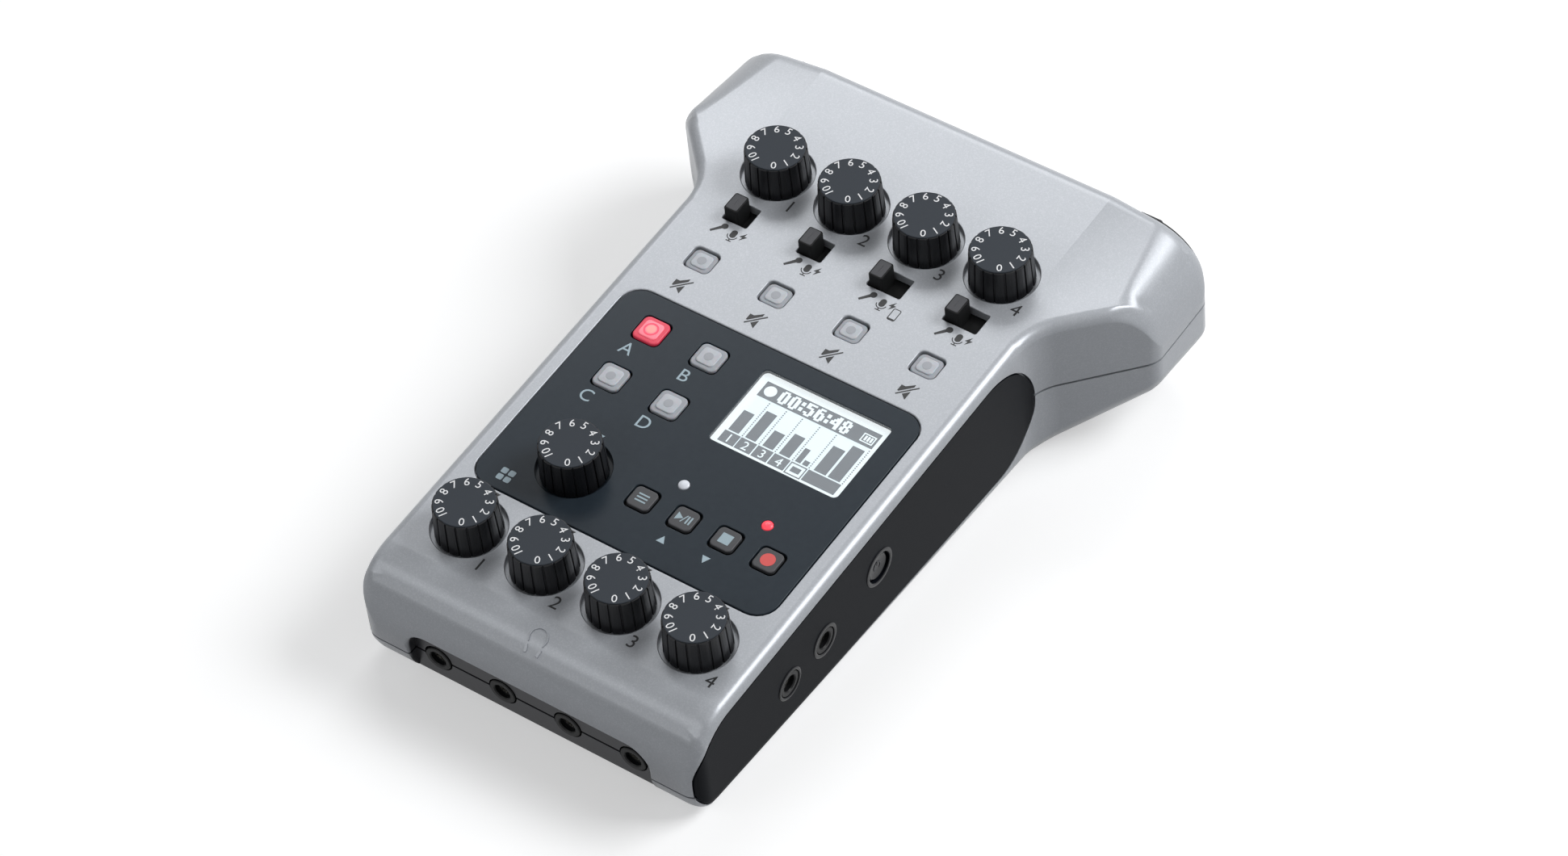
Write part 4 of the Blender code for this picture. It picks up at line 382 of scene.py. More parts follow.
# Polycarbonate light pipes: small glossy domes, one milky and one lit red from below
WHITE_LAMP = surface("white_lens", "milky_light_pipe", "#d8dce4", "#ccd0d9", (0.22, 0.30), 0.4, 0.002,
                     Emission_Color=linear("#d8dce4"), Emission_Strength=0.12)
RED_LAMP = surface("red_lens", "red_light_pipe", "#ff4d5e", "#f84454", (0.22, 0.30), 0.4, 0.002,
                   Emission_Color=linear("#ff4050"), Emission_Strength=0.55)
# Moulded PBT: a dry black, a little greyer than the ABS where light strikes it
SOCKET = surface("socket_black", "socket_pbt", "#131416", "#0d0e10", (0.36, 0.46), 0.25, 0.005,
                 Specular_IOR_Level=0.2)
# Nickel plate over brass or steel: warm grey metal with clear reflections
BRIGHT = surface("plated_steel", "nickel_plate", "#c9c8c4", "#bcbbb7", (0.20, 0.30), 0.30, 0.002,
                 Metallic=1.0)
# Solder resist over a glass laminate: deep green under a thin gloss
BOARD = surface("circuit_board", "solder_resist_green", "#0f4a26", "#0b3a1d", (0.34, 0.48), 1.2, 0.01,
                Coat_Weight=0.3)
# Lacquered steel sleeve: dark, half metallic, with a long highlight down the cell
SLEEVE = surface("battery_sleeve", "printed_steel_sleeve", "#34383c", "#2b2f33", (0.28, 0.38), 0.6, 0.002,
                 Metallic=0.4)
# Moulded rubber: black without any highlight
FOOT = surface("foot_rubber", "black_rubber", "#1c1c1d", "#141415", (0.78, 0.92), 0.35, 0.02)


# Mesh helpers, in millimetres

def mesh_of(bm, name="shape"):
    """The worked-on mesh as mesh data."""
    mesh = bpy.data.meshes.new(name)
    bm.to_mesh(mesh)
    bm.free()
    return mesh


def closed_mesh(verts, faces):
    """A mesh with its faces turned outwards."""
    bm = bmesh.new()
    corners = [bm.verts.new(v) for v in verts]
    for face in faces:
        bm.faces.new([corners[i] for i in face])
    bmesh.ops.recalc_face_normals(bm, faces=bm.faces)
    return mesh_of(bm)


def ring_faces(count, levels, closed=False):
    """Quads between rings of equal point counts, the last joined to the first where closed."""
    faces = []
    for k in range(levels if closed else levels - 1):
        low, high = k * count, (k + 1) % levels * count
        for i in range(count):
            j = (i + 1) % count
            faces.append([low + i, low + j, high + j, high + i])
    return faces


def loft(rings):
    """A closed mesh through rings of equal point counts, first end to last."""
    count = len(rings[0])
    verts = [v for ring in rings for v in ring]
    bottom = list(range(count))[::-1]
    top = [(len(rings) - 1) * count + i for i in range(count)]
    return closed_mesh(verts, [bottom] + ring_faces(count, len(rings)) + [top])


def tube(rings):
    """A ring-shaped solid: the last ring is joined back to the first."""
    verts = [v for ring in rings for v in ring]
    return closed_mesh(verts, ring_faces(len(rings[0]), len(rings), closed=True))


def at_height(outline, z):
    """A plane outline as a ring of points at one height."""
    return [Vector((p[0], p[1], z)) for p in outline]


def levelled(outline_at, levels):
    """A solid through one outline, drawn at each level's (margin, height)."""
    return loft([at_height(outline_at(margin), z) for margin, z in levels])


def circle(radius, height, steps):
    turns = [2 * math.pi * i / steps for i in range(steps)]
    return [Vector((radius * math.cos(a), radius * math.sin(a), height)) for a in turns]


def turned(profile, steps=64):
    """A solid of revolution about Z; the profile runs from low to high."""
    return loft([circle(r, z, steps) for r, z in profile])


def collar(profile, steps=64):
    """A solid of revolution with a hole, from a closed profile."""
    return tube([circle(r, z, steps) for r, z in profile])


def gathered(meshes):
    """Several meshes as one."""
    bm = bmesh.new()
    for mesh in meshes:
        bm.from_mesh(mesh)
    return mesh_of(bm)


def placed(mesh, matrix):
    mesh = mesh.copy()
    mesh.transform(matrix)
    return mesh


def spot(x, y, z=0.0):
    return Matrix.Translation((x, y, z))


def moved(mesh, x, y, z=0.0):
    return placed(mesh, spot(x, y, z))


def fillet(corners, steps):
    """Round the corners (x, y, radius) of a counter-clockwise outline.

    Returns (point, outward normal) pairs, arcs sampled in the given steps.
    """
    out = []
    count = len(corners)
    for i, (x, y, radius) in enumerate(corners):
        here = Vector((x, y))
        before = (here - Vector(corners[i - 1][:2])).normalized()
        after = (Vector(corners[(i + 1) % count][:2]) - here).normalized()
        turn = math.atan2(before.cross(after), before.dot(after))
        side = 1.0 if turn > 0 else -1.0
        start = math.atan2(-before.x, before.y)
        normal = Vector((before.y, -before.x))
        centre = here - before * radius * math.tan(abs(turn) / 2) - normal * radius * side
        for k in range(steps + 1):
            angle = start + turn * k / steps
            normal = Vector((math.cos(angle), math.sin(angle)))
            out.append((centre + normal * radius * side, normal))
    return out


def rounded_rectangle(width, length, radius, steps=6):
    w, h = width / 2, length / 2
    corners = [(w, -h, radius), (w, h, radius), (-w, h, radius), (-w, -h, radius)]
    return [p for p, _ in fillet(corners, steps)]


def prism(outline, low, high):
    return loft([at_height(outline, z) for z in (low, high)])


def box(low, high):
    outline = [(low[0], low[1]), (high[0], low[1]), (high[0], high[1]), (low[0], high[1])]
    return prism(outline, low[2], high[2])


def quarter(steps):
    """(sideways, upward) shares of a quarter circle, from its side to its top."""
    turns = [math.pi / 2 * k / steps for k in range(steps + 1)]
    return [(1 - math.cos(a), math.sin(a)) for a in turns]


def rolled_in(edge, steps):
    """Levels of a plate's upper edge, rolled in by the edge radius up to Z = 0."""
    return [(-edge * out, -edge * (1 - up)) for out, up in quarter(steps)]


def cushion(width, length, corner, low, top, edge, crown=0.0):
    """A rounded square cap with straight sides, a rolled edge and a crowned top."""
    def outline(inset):
        return rounded_rectangle(width - 2 * inset, length - 2 * inset, max(corner - inset, LEAST_CORNER))

    levels = [(0.0, low)] + [(edge * out, top - crown - edge * (1 - up)) for out, up in quarter(4)]
    reach = min(width, length) / 2 - edge
    levels += [(edge + reach * share, top - crown * (1 - share) ** 2) for share in CROWN_STEPS]
    return levelled(outline, levels)


def stepped(sections, steps=6):
    """A solid through rounded rectangles (width, length, corner, height)."""
    return loft([at_height(rounded_rectangle(width, length, corner, steps), height)
                 for width, length, corner, height in sections])


def linked(name, data):
    """A new object in the scene."""
    obj = bpy.data.objects.new(name, data)
    bpy.context.scene.collection.objects.link(obj)
    return obj


def evaluated_mesh(obj):
    """The object's mesh with its modifiers used up; the object is removed."""
    bpy.context.view_layer.update()
    graph = bpy.context.evaluated_depsgraph_get()
    mesh = bpy.data.meshes.new_from_object(obj.evaluated_get(graph))
    bpy.data.objects.remove(obj, do_unlink=True)
    return mesh


def combined(mesh, others, operation="DIFFERENCE"):
    """Cut, join or clip a mesh with others, one after another."""
    for other in others:
        target, tool = linked("scratch", mesh), linked("tool", other)
        step = target.modifiers.new("step", "BOOLEAN")
        step.operation = operation
        step.solver = "EXACT"
        step.object = tool
        mesh = evaluated_mesh(target)
        bpy.data.objects.remove(tool, do_unlink=True)
    return mesh


def cleaned(mesh, distance=0.002):
    """Merge doubled points and drop faces and edges without size."""
    bm = bmesh.new()
    bm.from_mesh(mesh)
    bmesh.ops.remove_doubles(bm, verts=bm.verts, dist=distance)
    bmesh.ops.dissolve_degenerate(bm, edges=bm.edges, dist=distance)
    bm.to_mesh(mesh)
    bm.free()
    return mesh


def drawn_in(mesh):
    """Draw the front and the back in by a hair, so that the piece stays inside the CAD model's box."""
    for vert in mesh.vertices:
        start = min(max(vert.co.y, DRAW_IN_FRONT), DRAW_IN_BACK)
        vert.co.y = start + (vert.co.y - start) * DRAW_IN_SHARE
    return mesh


def shaded(mesh, crease_xs=()):
    """Smooth shading that large flat faces govern, with sharp edges and creases along X lines."""
    mesh.shade_smooth()
    mesh.set_sharp_from_angle(angle=SMOOTH_ANGLE)
    for edge in mesh.edges:
        ends = [mesh.vertices[i].co for i in edge.vertices]
        if any(all(abs(e.x - x) < ON_LINE and e.z > -WING_ROUND_DEPTH for e in ends) for x in crease_xs):
            edge.use_edge_sharp = True
    obj = linked("scratch", mesh)
    weigh = obj.modifiers.new("normals", "WEIGHTED_NORMAL")
    weigh.weight = NORMAL_WEIGHT
    weigh.keep_sharp = True
    return evaluated_mesh(obj)


def show(mesh, name, finish, body="case", place=None, stands_for=(), crease_xs=()):
    """Show a mesh as a piece that rides on a body and wears a finish."""
    mesh = placed(shaded(mesh.copy(), crease_xs), place or DECK)
    mesh.name = name
    made, slot = finish
    mesh.materials.clear()
    mesh.materials.append(made)
    obj = linked(name, mesh)
    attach(obj, body)
    if stands_for:
        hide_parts(*stands_for)


def show_parts(node, parts, at, body="case", place=None):
    """Show the parts (suffix, mesh, finish) of a CAD node; the first one stands for it."""
    for i, (suffix, mesh, finish) in enumerate(parts):
        show(placed(mesh, at), f"{node}_{suffix}", finish, body, place, () if i else (node,))


# Repeats made by Geometry Nodes

def repeat_tree(name, ring):
    """Copies of the incoming piece, in a row by Step or in a ring about Z."""
    tree = bpy.data.node_groups.new(name, "GeometryNodeTree")
    kinds = {"Piece": "Geometry", "Count": "Int", "Step": "Vector", "Material": "Material"}
    for label, kind in kinds.items():
        tree.interface.new_socket(label, in_out="INPUT", socket_type=f"NodeSocket{kind}")
    tree.interface.new_socket("Row", in_out="OUTPUT", socket_type="NodeSocketGeometry")
    source = add(tree, "NodeGroupInput")
    index = add(tree, "GeometryNodeInputIndex")
    if ring:
        start = add(tree, "GeometryNodePoints", {"Count": source.outputs["Count"]})
        share = add(tree, "ShaderNodeMath", {0: index.outputs[0], 1: source.outputs["Count"]},
                    operation="DIVIDE")
        turn = add(tree, "ShaderNodeMath", {0: share.outputs[0], 1: 2 * math.pi}, operation="MULTIPLY")
        spin = add(tree, "ShaderNodeCombineXYZ", {"Z": turn.outputs[0]})
        turns = {"Rotation": spin.outputs["Vector"]}
    else:
        start = add(tree, "GeometryNodeMeshLine", {"Count": source.outputs["Count"],
                                                   "Offset": source.outputs["Step"]})
        turns = {}
    copies = add(tree, "GeometryNodeInstanceOnPoints", {"Points": start.outputs[0],
                                                        "Instance": source.outputs["Piece"], **turns})
    real = add(tree, "GeometryNodeRealizeInstances", {"Geometry": copies.outputs["Instances"]})
    dressed = add(tree, "GeometryNodeSetMaterial", {"Geometry": real.outputs["Geometry"],
                                                    "Material": source.outputs["Material"]})
    add(tree, "NodeGroupOutput", {"Row": dressed.outputs["Geometry"]})
    return tree


ROW_TREE = repeat_tree("row_of_pieces", ring=False)
RING_TREE = repeat_tree("ring_of_pieces", ring=True)


def repeated(mesh, tree, count, finish, step=(0.0, 0.0, 0.0)):
    """The mesh repeated by one of the trees, as a plain mesh."""
    obj = linked("scratch", mesh)
    nodes = obj.modifiers.new("repeat", "NODES")
    nodes.node_group = tree
    names = {s.name: s.identifier for s in tree.interface.items_tree if s.in_out == "INPUT"}
    nodes[names["Count"]] = count
    nodes[names["Step"]] = step
    nodes[names["Material"]] = finish[0]
    return evaluated_mesh(obj)


# Casing form

def plan_corners():
    """Corners of the casing's plan, counter-clockwise from the front right."""
    right = [
        (BODY_HALF_WIDTH, -FRONT_REACH, FRONT_CORNER_RADIUS),
        (BODY_HALF_WIDTH, FLARE_START, WAIST_RADIUS),
        (HEAD_HALF_WIDTH, FLARE_END, WING_CORNER_RADIUS),
        (HEAD_HALF_WIDTH, BACK_REACH, BACK_CORNER_RADIUS),
    ]
    return right + [(-x, y, r) for x, y, r in reversed(right)]


def front_bend_ys(front_radius, inset, count):
    """Y of the lines along which a front rounding bends."""
    start, reach = -(FRONT_REACH - front_radius), front_radius - inset
    return [start - reach * math.sin(math.radians(90 * k / ROUND_STEPS)) for k in range(count)]


def plan_outline():
    """The casing's plan as (point, outward normal) pairs.

    Straight runs get points where the top bends: at the creases, along the wings'
    roundings and along the front rounding.
    """
    pairs = fillet(plan_corners(), CORNER_STEPS)
    xs = [CREASE_X] + [wing_line_x(k / ROUND_STEPS, BACK_REACH) for k in range(ROUND_STEPS)]
    xs += [-x for x in xs]
    ys = front_bend_ys(TOP_FRONT_RADIUS, 0.0, ROUND_STEPS)
    out = []
    for i, (point, normal) in enumerate(pairs):
        out.append((point, normal))
        run = pairs[(i + 1) % len(pairs)][0] - point
        if (i + 1) % (CORNER_STEPS + 1):
            continue
        shares = [(x - point.x) / run.x for x in xs if abs(run.x) > CELL_MARGIN]
        shares += [(y - point.y) / run.y for y in ys if abs(run.y) > CELL_MARGIN]
        margin = CELL_MARGIN / run.length
        inner = sorted(s for s in shares if margin < s < 1 - margin)
        kept = [s for k, s in enumerate(inner) if k == 0 or s - inner[k - 1] > margin]
        out.extend((point + run * s, normal) for s in kept)
    return out


def clamped(share):
    return min(max(share, 0.0), 1.0)


def quarter_drop(u):
    """Fall of a unit quarter circle at a share u of its radius."""
    u = clamped(u)
    return 1.0 - math.sqrt(1.0 - u * u)


def front_drop(y, front_radius, inset):
    """How far a front rounding has turned away from its flat surface."""
    radius = front_radius - inset
    return radius * quarter_drop((-y - FRONT_REACH + front_radius) / radius)


def wing_share(y):
    """How far back a point lies on the head, 0 at the flank and 1 at the back."""
    return clamped((y - WING_SLOPE_START) / (BACK_REACH - WING_SLOPE_START))


def wing_round(y, inset):
    """Start and reach along X of the rounding between head and flank."""
    start = WING_ROUND_FLANK_X + (WING_ROUND_BACK_X - WING_ROUND_FLANK_X) * wing_share(y)
    return start, HEAD_HALF_WIDTH + WING_ROUND_OVERHANG - inset - start


def wing_line_x(share, y, inset=0.0):
    """X of a line along the wing where its rounding has turned by a share."""
    start, reach = wing_round(y, inset)
    return start + reach * math.sin(math.radians(90 * share))


def top_height(x, y, inset=0.0):
    """Height of the casing's top, or of a surface the inset below it."""
    x = abs(x)
    slope = WING_SLOPE * wing_share(y) * max(x - CREASE_X, 0.0)
    start, reach = wing_round(y, inset)
    wing = (WING_ROUND_DEPTH - inset) * quarter_drop((x - start) / reach)
    return -inset - front_drop(y, TOP_FRONT_RADIUS, inset) - slope - wing


def low_height(x, y, inset=0.0):
    """Height of the casing's underside, or of a surface the inset above it."""
    wing = WING_UNDER_SLOPE * max(abs(x) - BODY_HALF_WIDTH, 0.0)
    return inset - DEPTH_AT_ORIGIN - DEPTH_GRADIENT * y + front_drop(y, LOW_FRONT_RADIUS, inset) + wing


def is_inside(outline, point):
    """Even-odd test of a point in a closed plane outline."""
    inside = False
    for i, a in enumerate(outline):
        b = outline[i - 1]
        if (a.y > point.y) != (b.y > point.y):
            if point.x < a.x + (b.x - a.x) * (point.y - a.y) / (b.y - a.y):
                inside = not inside
    return inside


def front_lines(front_radius, edge_radius, inset, count):
    """Lines across the casing along which its front rounding bends."""
    half = BODY_HALF_WIDTH - inset - 2 * edge_radius
    return [[Vector((-half, y)), Vector((half, y))] for y in front_bend_ys(front_radius, inset, count)]


def top_lines(inset):
    """Lines inside the plan along which the top surface bends."""
    lines = front_lines(TOP_FRONT_RADIUS, TOP_EDGE_RADIUS, inset, ROUND_STEPS)
    rows = [WING_SLOPE_START + (BACK_REACH - WING_SLOPE_START) * k / ROUND_STEPS
            for k in range(ROUND_STEPS + 1)]
    for side in (-1, 1):
        for k in range(WING_STEPS):
            xs = [CREASE_X + (wing_line_x(0, y, inset) - CREASE_X) * k / WING_STEPS for y in rows]
            lines.append([Vector((side * x, y)) for x, y in zip(xs, rows)])
        for k in range(ROUND_STEPS):
            lines.append([Vector((side * wing_line_x(k / ROUND_STEPS, y, inset), y)) for y in rows])
    return lines


def low_lines(inset):
    """Lines inside the plan along which the underside bends."""
    lines = front_lines(LOW_FRONT_RADIUS, LOW_EDGE_RADIUS, inset, ROUND_STEPS - 1)
    ys = (FLARE_START, BACK_REACH - inset - 2 * LOW_EDGE_RADIUS)
    return lines + [[Vector((side * BODY_HALF_WIDTH, y)) for y in ys] for side in (-1, 1)]


def cap_faces(ring, lines, margin_ring, height):
    """Triangles that fill a ring through the kept points of the lines."""
    points = [Vector((p.x, p.y)) for p in ring]
    count = len(points)
    edges = []
    for line in lines:
        last = None
        for point in line:
            if not is_inside(margin_ring, point):
                last = None
                continue
            points.append(point)
            if last is not None:
                edges.append((last, len(points) - 1))
            last = len(points) - 1
    result = delaunay_2d_cdt(points, edges, [list(range(count))], 1, 0.0)
    verts, faces, sources = result[0], result[2], result[3]
    origin = [s[0] for s in sources]
    extra = [Vector((v.x, v.y, height(v.x, v.y))) for v, o in zip(verts, origin) if o >= count]
    extra_index = {}
    for i, o in enumerate(origin):
        if o >= count:
            extra_index[i] = count + len(extra_index)
    index = [extra_index.get(i, origin[i]) for i in range(len(verts))]
    return extra, [[index[i] for i in face] for face in faces]


def casing(inset):
    """The casing's outer form as one closed solid, or that form inset."""
    outline = plan_outline()
    top_radius = max(TOP_EDGE_RADIUS - inset, INNER_EDGE_RADIUS)
    low_radius = max(LOW_EDGE_RADIUS - inset, INNER_EDGE_RADIUS)

    def ring(radius, share, height, sign):
        angle = math.radians(90 * share)
        back_off = inset + radius * (1 - math.cos(angle))
        fall = radius * (1 - math.sin(angle))
        flat = [p - n * back_off for p, n in outline]
        return [Vector((p.x, p.y, height(p.x, p.y, inset) - sign * fall)) for p in flat]

    rings = [ring(low_radius, 1 - k / EDGE_STEPS, low_height, -1) for k in range(EDGE_STEPS + 1)]
    rings += [ring(top_radius, k / EDGE_STEPS, top_height, 1) for k in range(EDGE_STEPS + 1)]
    count = len(outline)
    verts = [v for loop in rings for v in loop]
    faces = ring_faces(count, len(rings))
    ends = ((0, low_radius, low_lines(inset), low_height),
            (len(rings) - 1, top_radius, top_lines(inset), top_height))
    for level, radius, lines, height in ends:
        margin = [p - n * (inset + radius + CELL_MARGIN) for p, n in outline]
        extra, tris = cap_faces(rings[level], lines, margin, lambda x, y: height(x, y, inset))
        base = len(verts)
        verts += extra
        for tri in tris:
            faces.append([level * count + i if i < count else base + i - count for i in tri])
    return closed_mesh(verts, faces)


# Cutters for the casing

def flared(outline_at, low, edge=DECK_MOUTH_EDGE):
    """A cutter through the deck whose mouth is rolled over by the edge radius."""
    rolled = [(edge * out, edge * (up - 1)) for out, up in quarter(3)]
    return levelled(outline_at, [(0.0, low)] + rolled + [(edge, OVERRUN)])


def rectangle_at(x, y, width, length, corner):
    """The outline of an opening around a place, for any margin."""
    def outline(margin):
        points = rounded_rectangle(width + 2 * margin, length + 2 * margin, corner + margin)
        return [Vector((x + p.x, y + p.y)) for p in points]
    return outline


def circle_at(x, y, radius, steps=64):
    """The outline of a round opening around a place, for any margin."""
    def outline(margin):
        return [Vector((x + p.x, y + p.y)) for p in circle(radius + margin, 0.0, steps)]
    return outline


def along_y(x, depth, y, outward):
    """A place in the front or back wall, with Z pointing out of it (outward is -1 or 1)."""
    return spot(x, y, -depth) @ Matrix.Rotation(-outward * math.pi / 2, 4, "X")


def in_side(y, depth, side=1):
    """A place in a side wall, with Z pointing out of it (side is 1 on the right)."""
    return spot(side * BODY_HALF_WIDTH, y, -depth) @ Matrix.Rotation(side * math.pi / 2, 4, "Y")


def round_hole(radius, place, steps=48):
    return placed(turned([(radius, -OVERRUN), (radius, OVERRUN)], steps), place)


def switch_slots():
    """Left end and right end of each input selector's slot."""
    return [(x - w / 2, x + w / 2) for x, w in zip(COLUMNS, SLOT_WIDTHS)]


def side_prism(gap, side):
    """The side panel's outline pushed sideways through one wall of the casing."""
    corners = [
        (SIDE_LOW_FRONT - gap, SIDE_FRONT - gap, SIDE_FRONT_LOW_RADIUS),
        (SIDE_TOP + gap, SIDE_FRONT - gap, SIDE_FRONT_TOP_RADIUS),
        (SIDE_TOP + gap, SIDE_BACK + gap, SIDE_BACK_TOP_RADIUS),
        (SIDE_LOW_BACK - gap, SIDE_BACK + gap, SIDE_BACK_LOW_RADIUS),
    ]
    outline = [(-side * p.x, p.y) for p, _ in fillet(corners, SIDE_CORNER_STEPS)][::side]
    block = prism(outline, BODY_HALF_WIDTH - SIDE_PANEL_WRAP - gap, HEAD_HALF_WIDTH + OVERRUN)
    return placed(block, Matrix.Rotation(side * math.pi / 2, 4, "Y"))


def side_pocket(side):
    return combined(side_prism(SIDE_PANEL_EDGE_GAP, side), [casing(SIDE_PANEL_THICKNESS + SEAT_GAP)])


def scoop_outline(margin):
    """The scoop's front view: round upper corners, open below."""
    half = SCOOP_HALF_WIDTH + margin
    top = -SCOOP_TOP_DEPTH + margin
    low = -DEPTH_AT_ORIGIN - OVERRUN
    corner = SCOOP_CORNER + margin
    corners = [(half, low, CLIP_SKIN), (half, top, corner), (-half, top, corner), (-half, low, CLIP_SKIN)]
    return [p for p, _ in fillet(corners, 8)]


TO_FRONT = Matrix.Rotation(math.pi / 2, 4, "X")


def scoop_cutter():
    """The scoop, with its mouth rolled over towards the front."""
    start = FRONT_REACH - SCOOP_EDGE
    levels = [(0.0, FRONT_REACH - SCOOP_DEPTH), (0.0, start)]
    levels += [(SCOOP_EDGE * out, start + SCOOP_EDGE * up) for out, up in quarter(4)[1:]]
    return placed(levelled(scoop_outline, levels + [(SCOOP_EDGE, FRONT_REACH + OVERRUN)]), TO_FRONT)


def scoop_backing():
    """The wall behind the scoop, which carries the headphone jacks."""
    low = FRONT_REACH - SCOOP_DEPTH - SCOOP_BACKING
    block = placed(prism(scoop_outline(SCOOP_BACKING_MARGIN), low, FRONT_REACH), TO_FRONT)
    return combined(block, [casing(CLIP_SKIN)], "INTERSECT")


def half_space(low, high):
    x, y = HEAD_HALF_WIDTH + OVERRUN, BACK_REACH + OVERRUN
    return box((-x, -y, low), (x, y, high))


def socket_cutters():
    """Holes through the front, the back and the sides of the casing."""
    cutters = [scoop_cutter()]
    cutters += [round_hole(JACK_RADIUS + SEAT_GAP, along_y(x, SEAM_DEPTH, -FRONT_REACH, -1)) for x in JACK_XS]
    cutters += [round_hole(XLR_FLANGE_RADIUS + SEAT_GAP, along_y(x, XLR_DEPTH, BACK_REACH, 1), 96)
                for x in XLR_XS]
    return cutters + [side_pocket(1), side_pocket(-1)] + right_wall_cutters() + left_wall_cutters()


def right_wall_cutters():
    places = [(POWER_RADIUS, POWER_Y, POWER_DEPTH), (JACK_RADIUS, SMARTPHONE_JACK_Y, SIDE_JACK_DEPTH),
              (JACK_RADIUS, LINE_JACK_Y, SIDE_JACK_DEPTH)]
    return [round_hole(r + RUN_GAP, in_side(y, depth)) for r, y, depth in places]


def port_outline(width, height, gap):
    return rounded_rectangle(height + 2 * gap, width + 2 * gap, height / 3 + gap)


def left_wall_cutters():
    openings = [(y, USB_DEPTH, USB_WIDTH, USB_HEIGHT) for y in USB_Y]
    openings.append((CARD_Y, CARD_DEPTH, CARD_BODY_WIDTH, CARD_BODY_HEIGHT))
    return [placed(prism(port_outline(width, height, RUN_GAP), -OVERRUN, OVERRUN), in_side(y, depth, -1))
            for y, depth, width, height in openings]


# Casing pieces

def hollow_half(low, high):
    """The walls of the casing between two heights, with the scoop's backing."""
    walls = combined(casing(0.0), [casing(WALL)])
    room = half_space(low, high)
    walls = combined(walls, [room], "INTERSECT")
    return combined(walls, [combined(scoop_backing(), [room], "INTERSECT")], "UNION")


def panel_rectangle(growth, corner):
    return rectangle_at(0.0, PANEL_Y, PANEL_WIDTH + 2 * growth, PANEL_LENGTH + 2 * growth, corner)


def deck_cutters():
    """Knob wells, selector slots, mute holes and the control panel's seat and opening."""
    cutters = [flared(circle_at(x, y, WELL_RADIUS), -WELL_DEPTH)
               for y in (GAIN_ROW_Y, PHONES_ROW_Y) for x in COLUMNS]
    slots = [rectangle_at((left + right) / 2, SWITCH_ROW_Y, right - left, SLOT_HEIGHT, SLOT_CORNER)
             for left, right in switch_slots()]
    mutes = [rectangle_at(x, MUTE_ROW_Y, MUTE_HOLE_WIDTH, MUTE_HOLE_LENGTH, KEY_CORNER) for x in COLUMNS]
    cutters += [flared(outline, -OVERRUN) for outline in slots + mutes]
    cutters.append(flared(panel_rectangle(PANEL_GAP, PANEL_CORNER + PANEL_GAP), -PANEL_THICKNESS - SEAT_GAP))
    opening = panel_rectangle(-PANEL_LEDGE, PANEL_OPENING_CORNER)
    return cutters + [prism(opening(0.0), -OVERRUN, 0.0)]


def top_shell():
    shell = hollow_half(SEAM_SHADOW / 2 - SEAM_DEPTH, OVERRUN)
    shell = combined(shell, deck_cutters() + socket_cutters())
    show(drawn_in(cleaned(shell)), "silver_top_shell", SILVER, stands_for=("top_shell",),
         crease_xs=(-CREASE_X, CREASE_X))


def bay_half():
    """Half sizes of the battery bay along X and Y."""
    return BATTERY_LENGTH / 2 + BAY_END_ROOM, BAY_PITCH / 2 + BATTERY_RADIUS + SEAT_GAP


def cover_outline(gap):
    half_x, half_y = bay_half()
    points = rounded_rectangle(2 * (half_x + COVER_LAP + gap), 2 * (half_y + COVER_LAP + gap), COVER_CORNER)
    return [Vector((p.x, BAY_Y + p.y)) for p in points]


def bay_box(margin, low, top):
    """A block over the battery bay, wider than it by a margin on each side."""
    half_x, half_y = bay_half()
    return box((-half_x - margin, BAY_Y - half_y - margin, low),
               (half_x + margin, BAY_Y + half_y + margin, top))


def post(radius, top, steps):
    """A round post or cutter from below everything up to a height."""
    return turned([(radius, BELOW_ALL), (radius, top)], steps)


def bottom_shell():
    shell = hollow_half(BELOW_ALL, -SEAM_DEPTH - SEAM_SHADOW / 2)
    to_deck = DECK.inverted() @ BASE
    roof = COVER_THICKNESS + 2 * BATTERY_RADIUS + 2 * SEAT_GAP
    block = bay_box(BAY_WALL, BAY_FLOOR, roof + BAY_WALL)
    room = bay_box(0.0, -OVERRUN, roof)
    seat = prism(cover_outline(SEAT_GAP), -OVERRUN, COVER_THICKNESS + SEAT_GAP)
    foot_seat = turned([(FOOT_RADIUS + SEAT_GAP, -OVERRUN),
                        (FOOT_RADIUS + SEAT_GAP, FOOT_THICKNESS - FOOT_PROUD + SEAT_GAP)], 48)
    feet = [moved(foot_seat, x, y) for x, y in foot_places()]
    bosses = [moved(post(BOSS_RADIUS, -SEAM_DEPTH - SEAM_GAP / 2, 48), x, y) for x, y in SCREWS]
    bosses = [combined(b, [casing(CLIP_SKIN)], "INTERSECT") for b in bosses]
    shell = combined(shell, [placed(block, to_deck)] + bosses, "UNION")
    seats = [moved(post(SCREW_HEAD_RADIUS + SCREW_ROOM, -SCREW_SEAT_DEPTH, 32), x, y) for x, y in SCREWS]
    shell = combined(shell, [placed(m, to_deck) for m in [seat, room] + feet] + seats + socket_cutters())
    show(drawn_in(cleaned(shell)), "silver_bottom_shell", SILVER, stands_for=("bottom_shell",))


def side_panel(side, holes, name, node):
    panel = combined(side_prism(0.0, side), [casing(0.0)], "INTERSECT")
    panel = combined(panel, [casing(SIDE_PANEL_THICKNESS)] + holes)
    show(drawn_in(cleaned(panel)), name, BLACK_SATIN, stands_for=(node,))


def raised_ring(name, inner, outer, y, depth):
    """A low rounded rim around an opening in the right side."""
    foot, shoulder = RIM_RISE * RIM_FOOT_SHARE, RIM_RISE * RIM_SHOULDER_SHARE
    profile = [(inner, RIM_ROOT), (outer, RIM_ROOT), (outer, foot), (outer - RIM_BEVEL, shoulder),
               ((inner + outer) / 2, RIM_RISE), (inner + RIM_BEVEL, shoulder), (inner, foot)]
    show(placed(collar(profile, 72), in_side(y, depth)), name, BLACK_GLOSS)


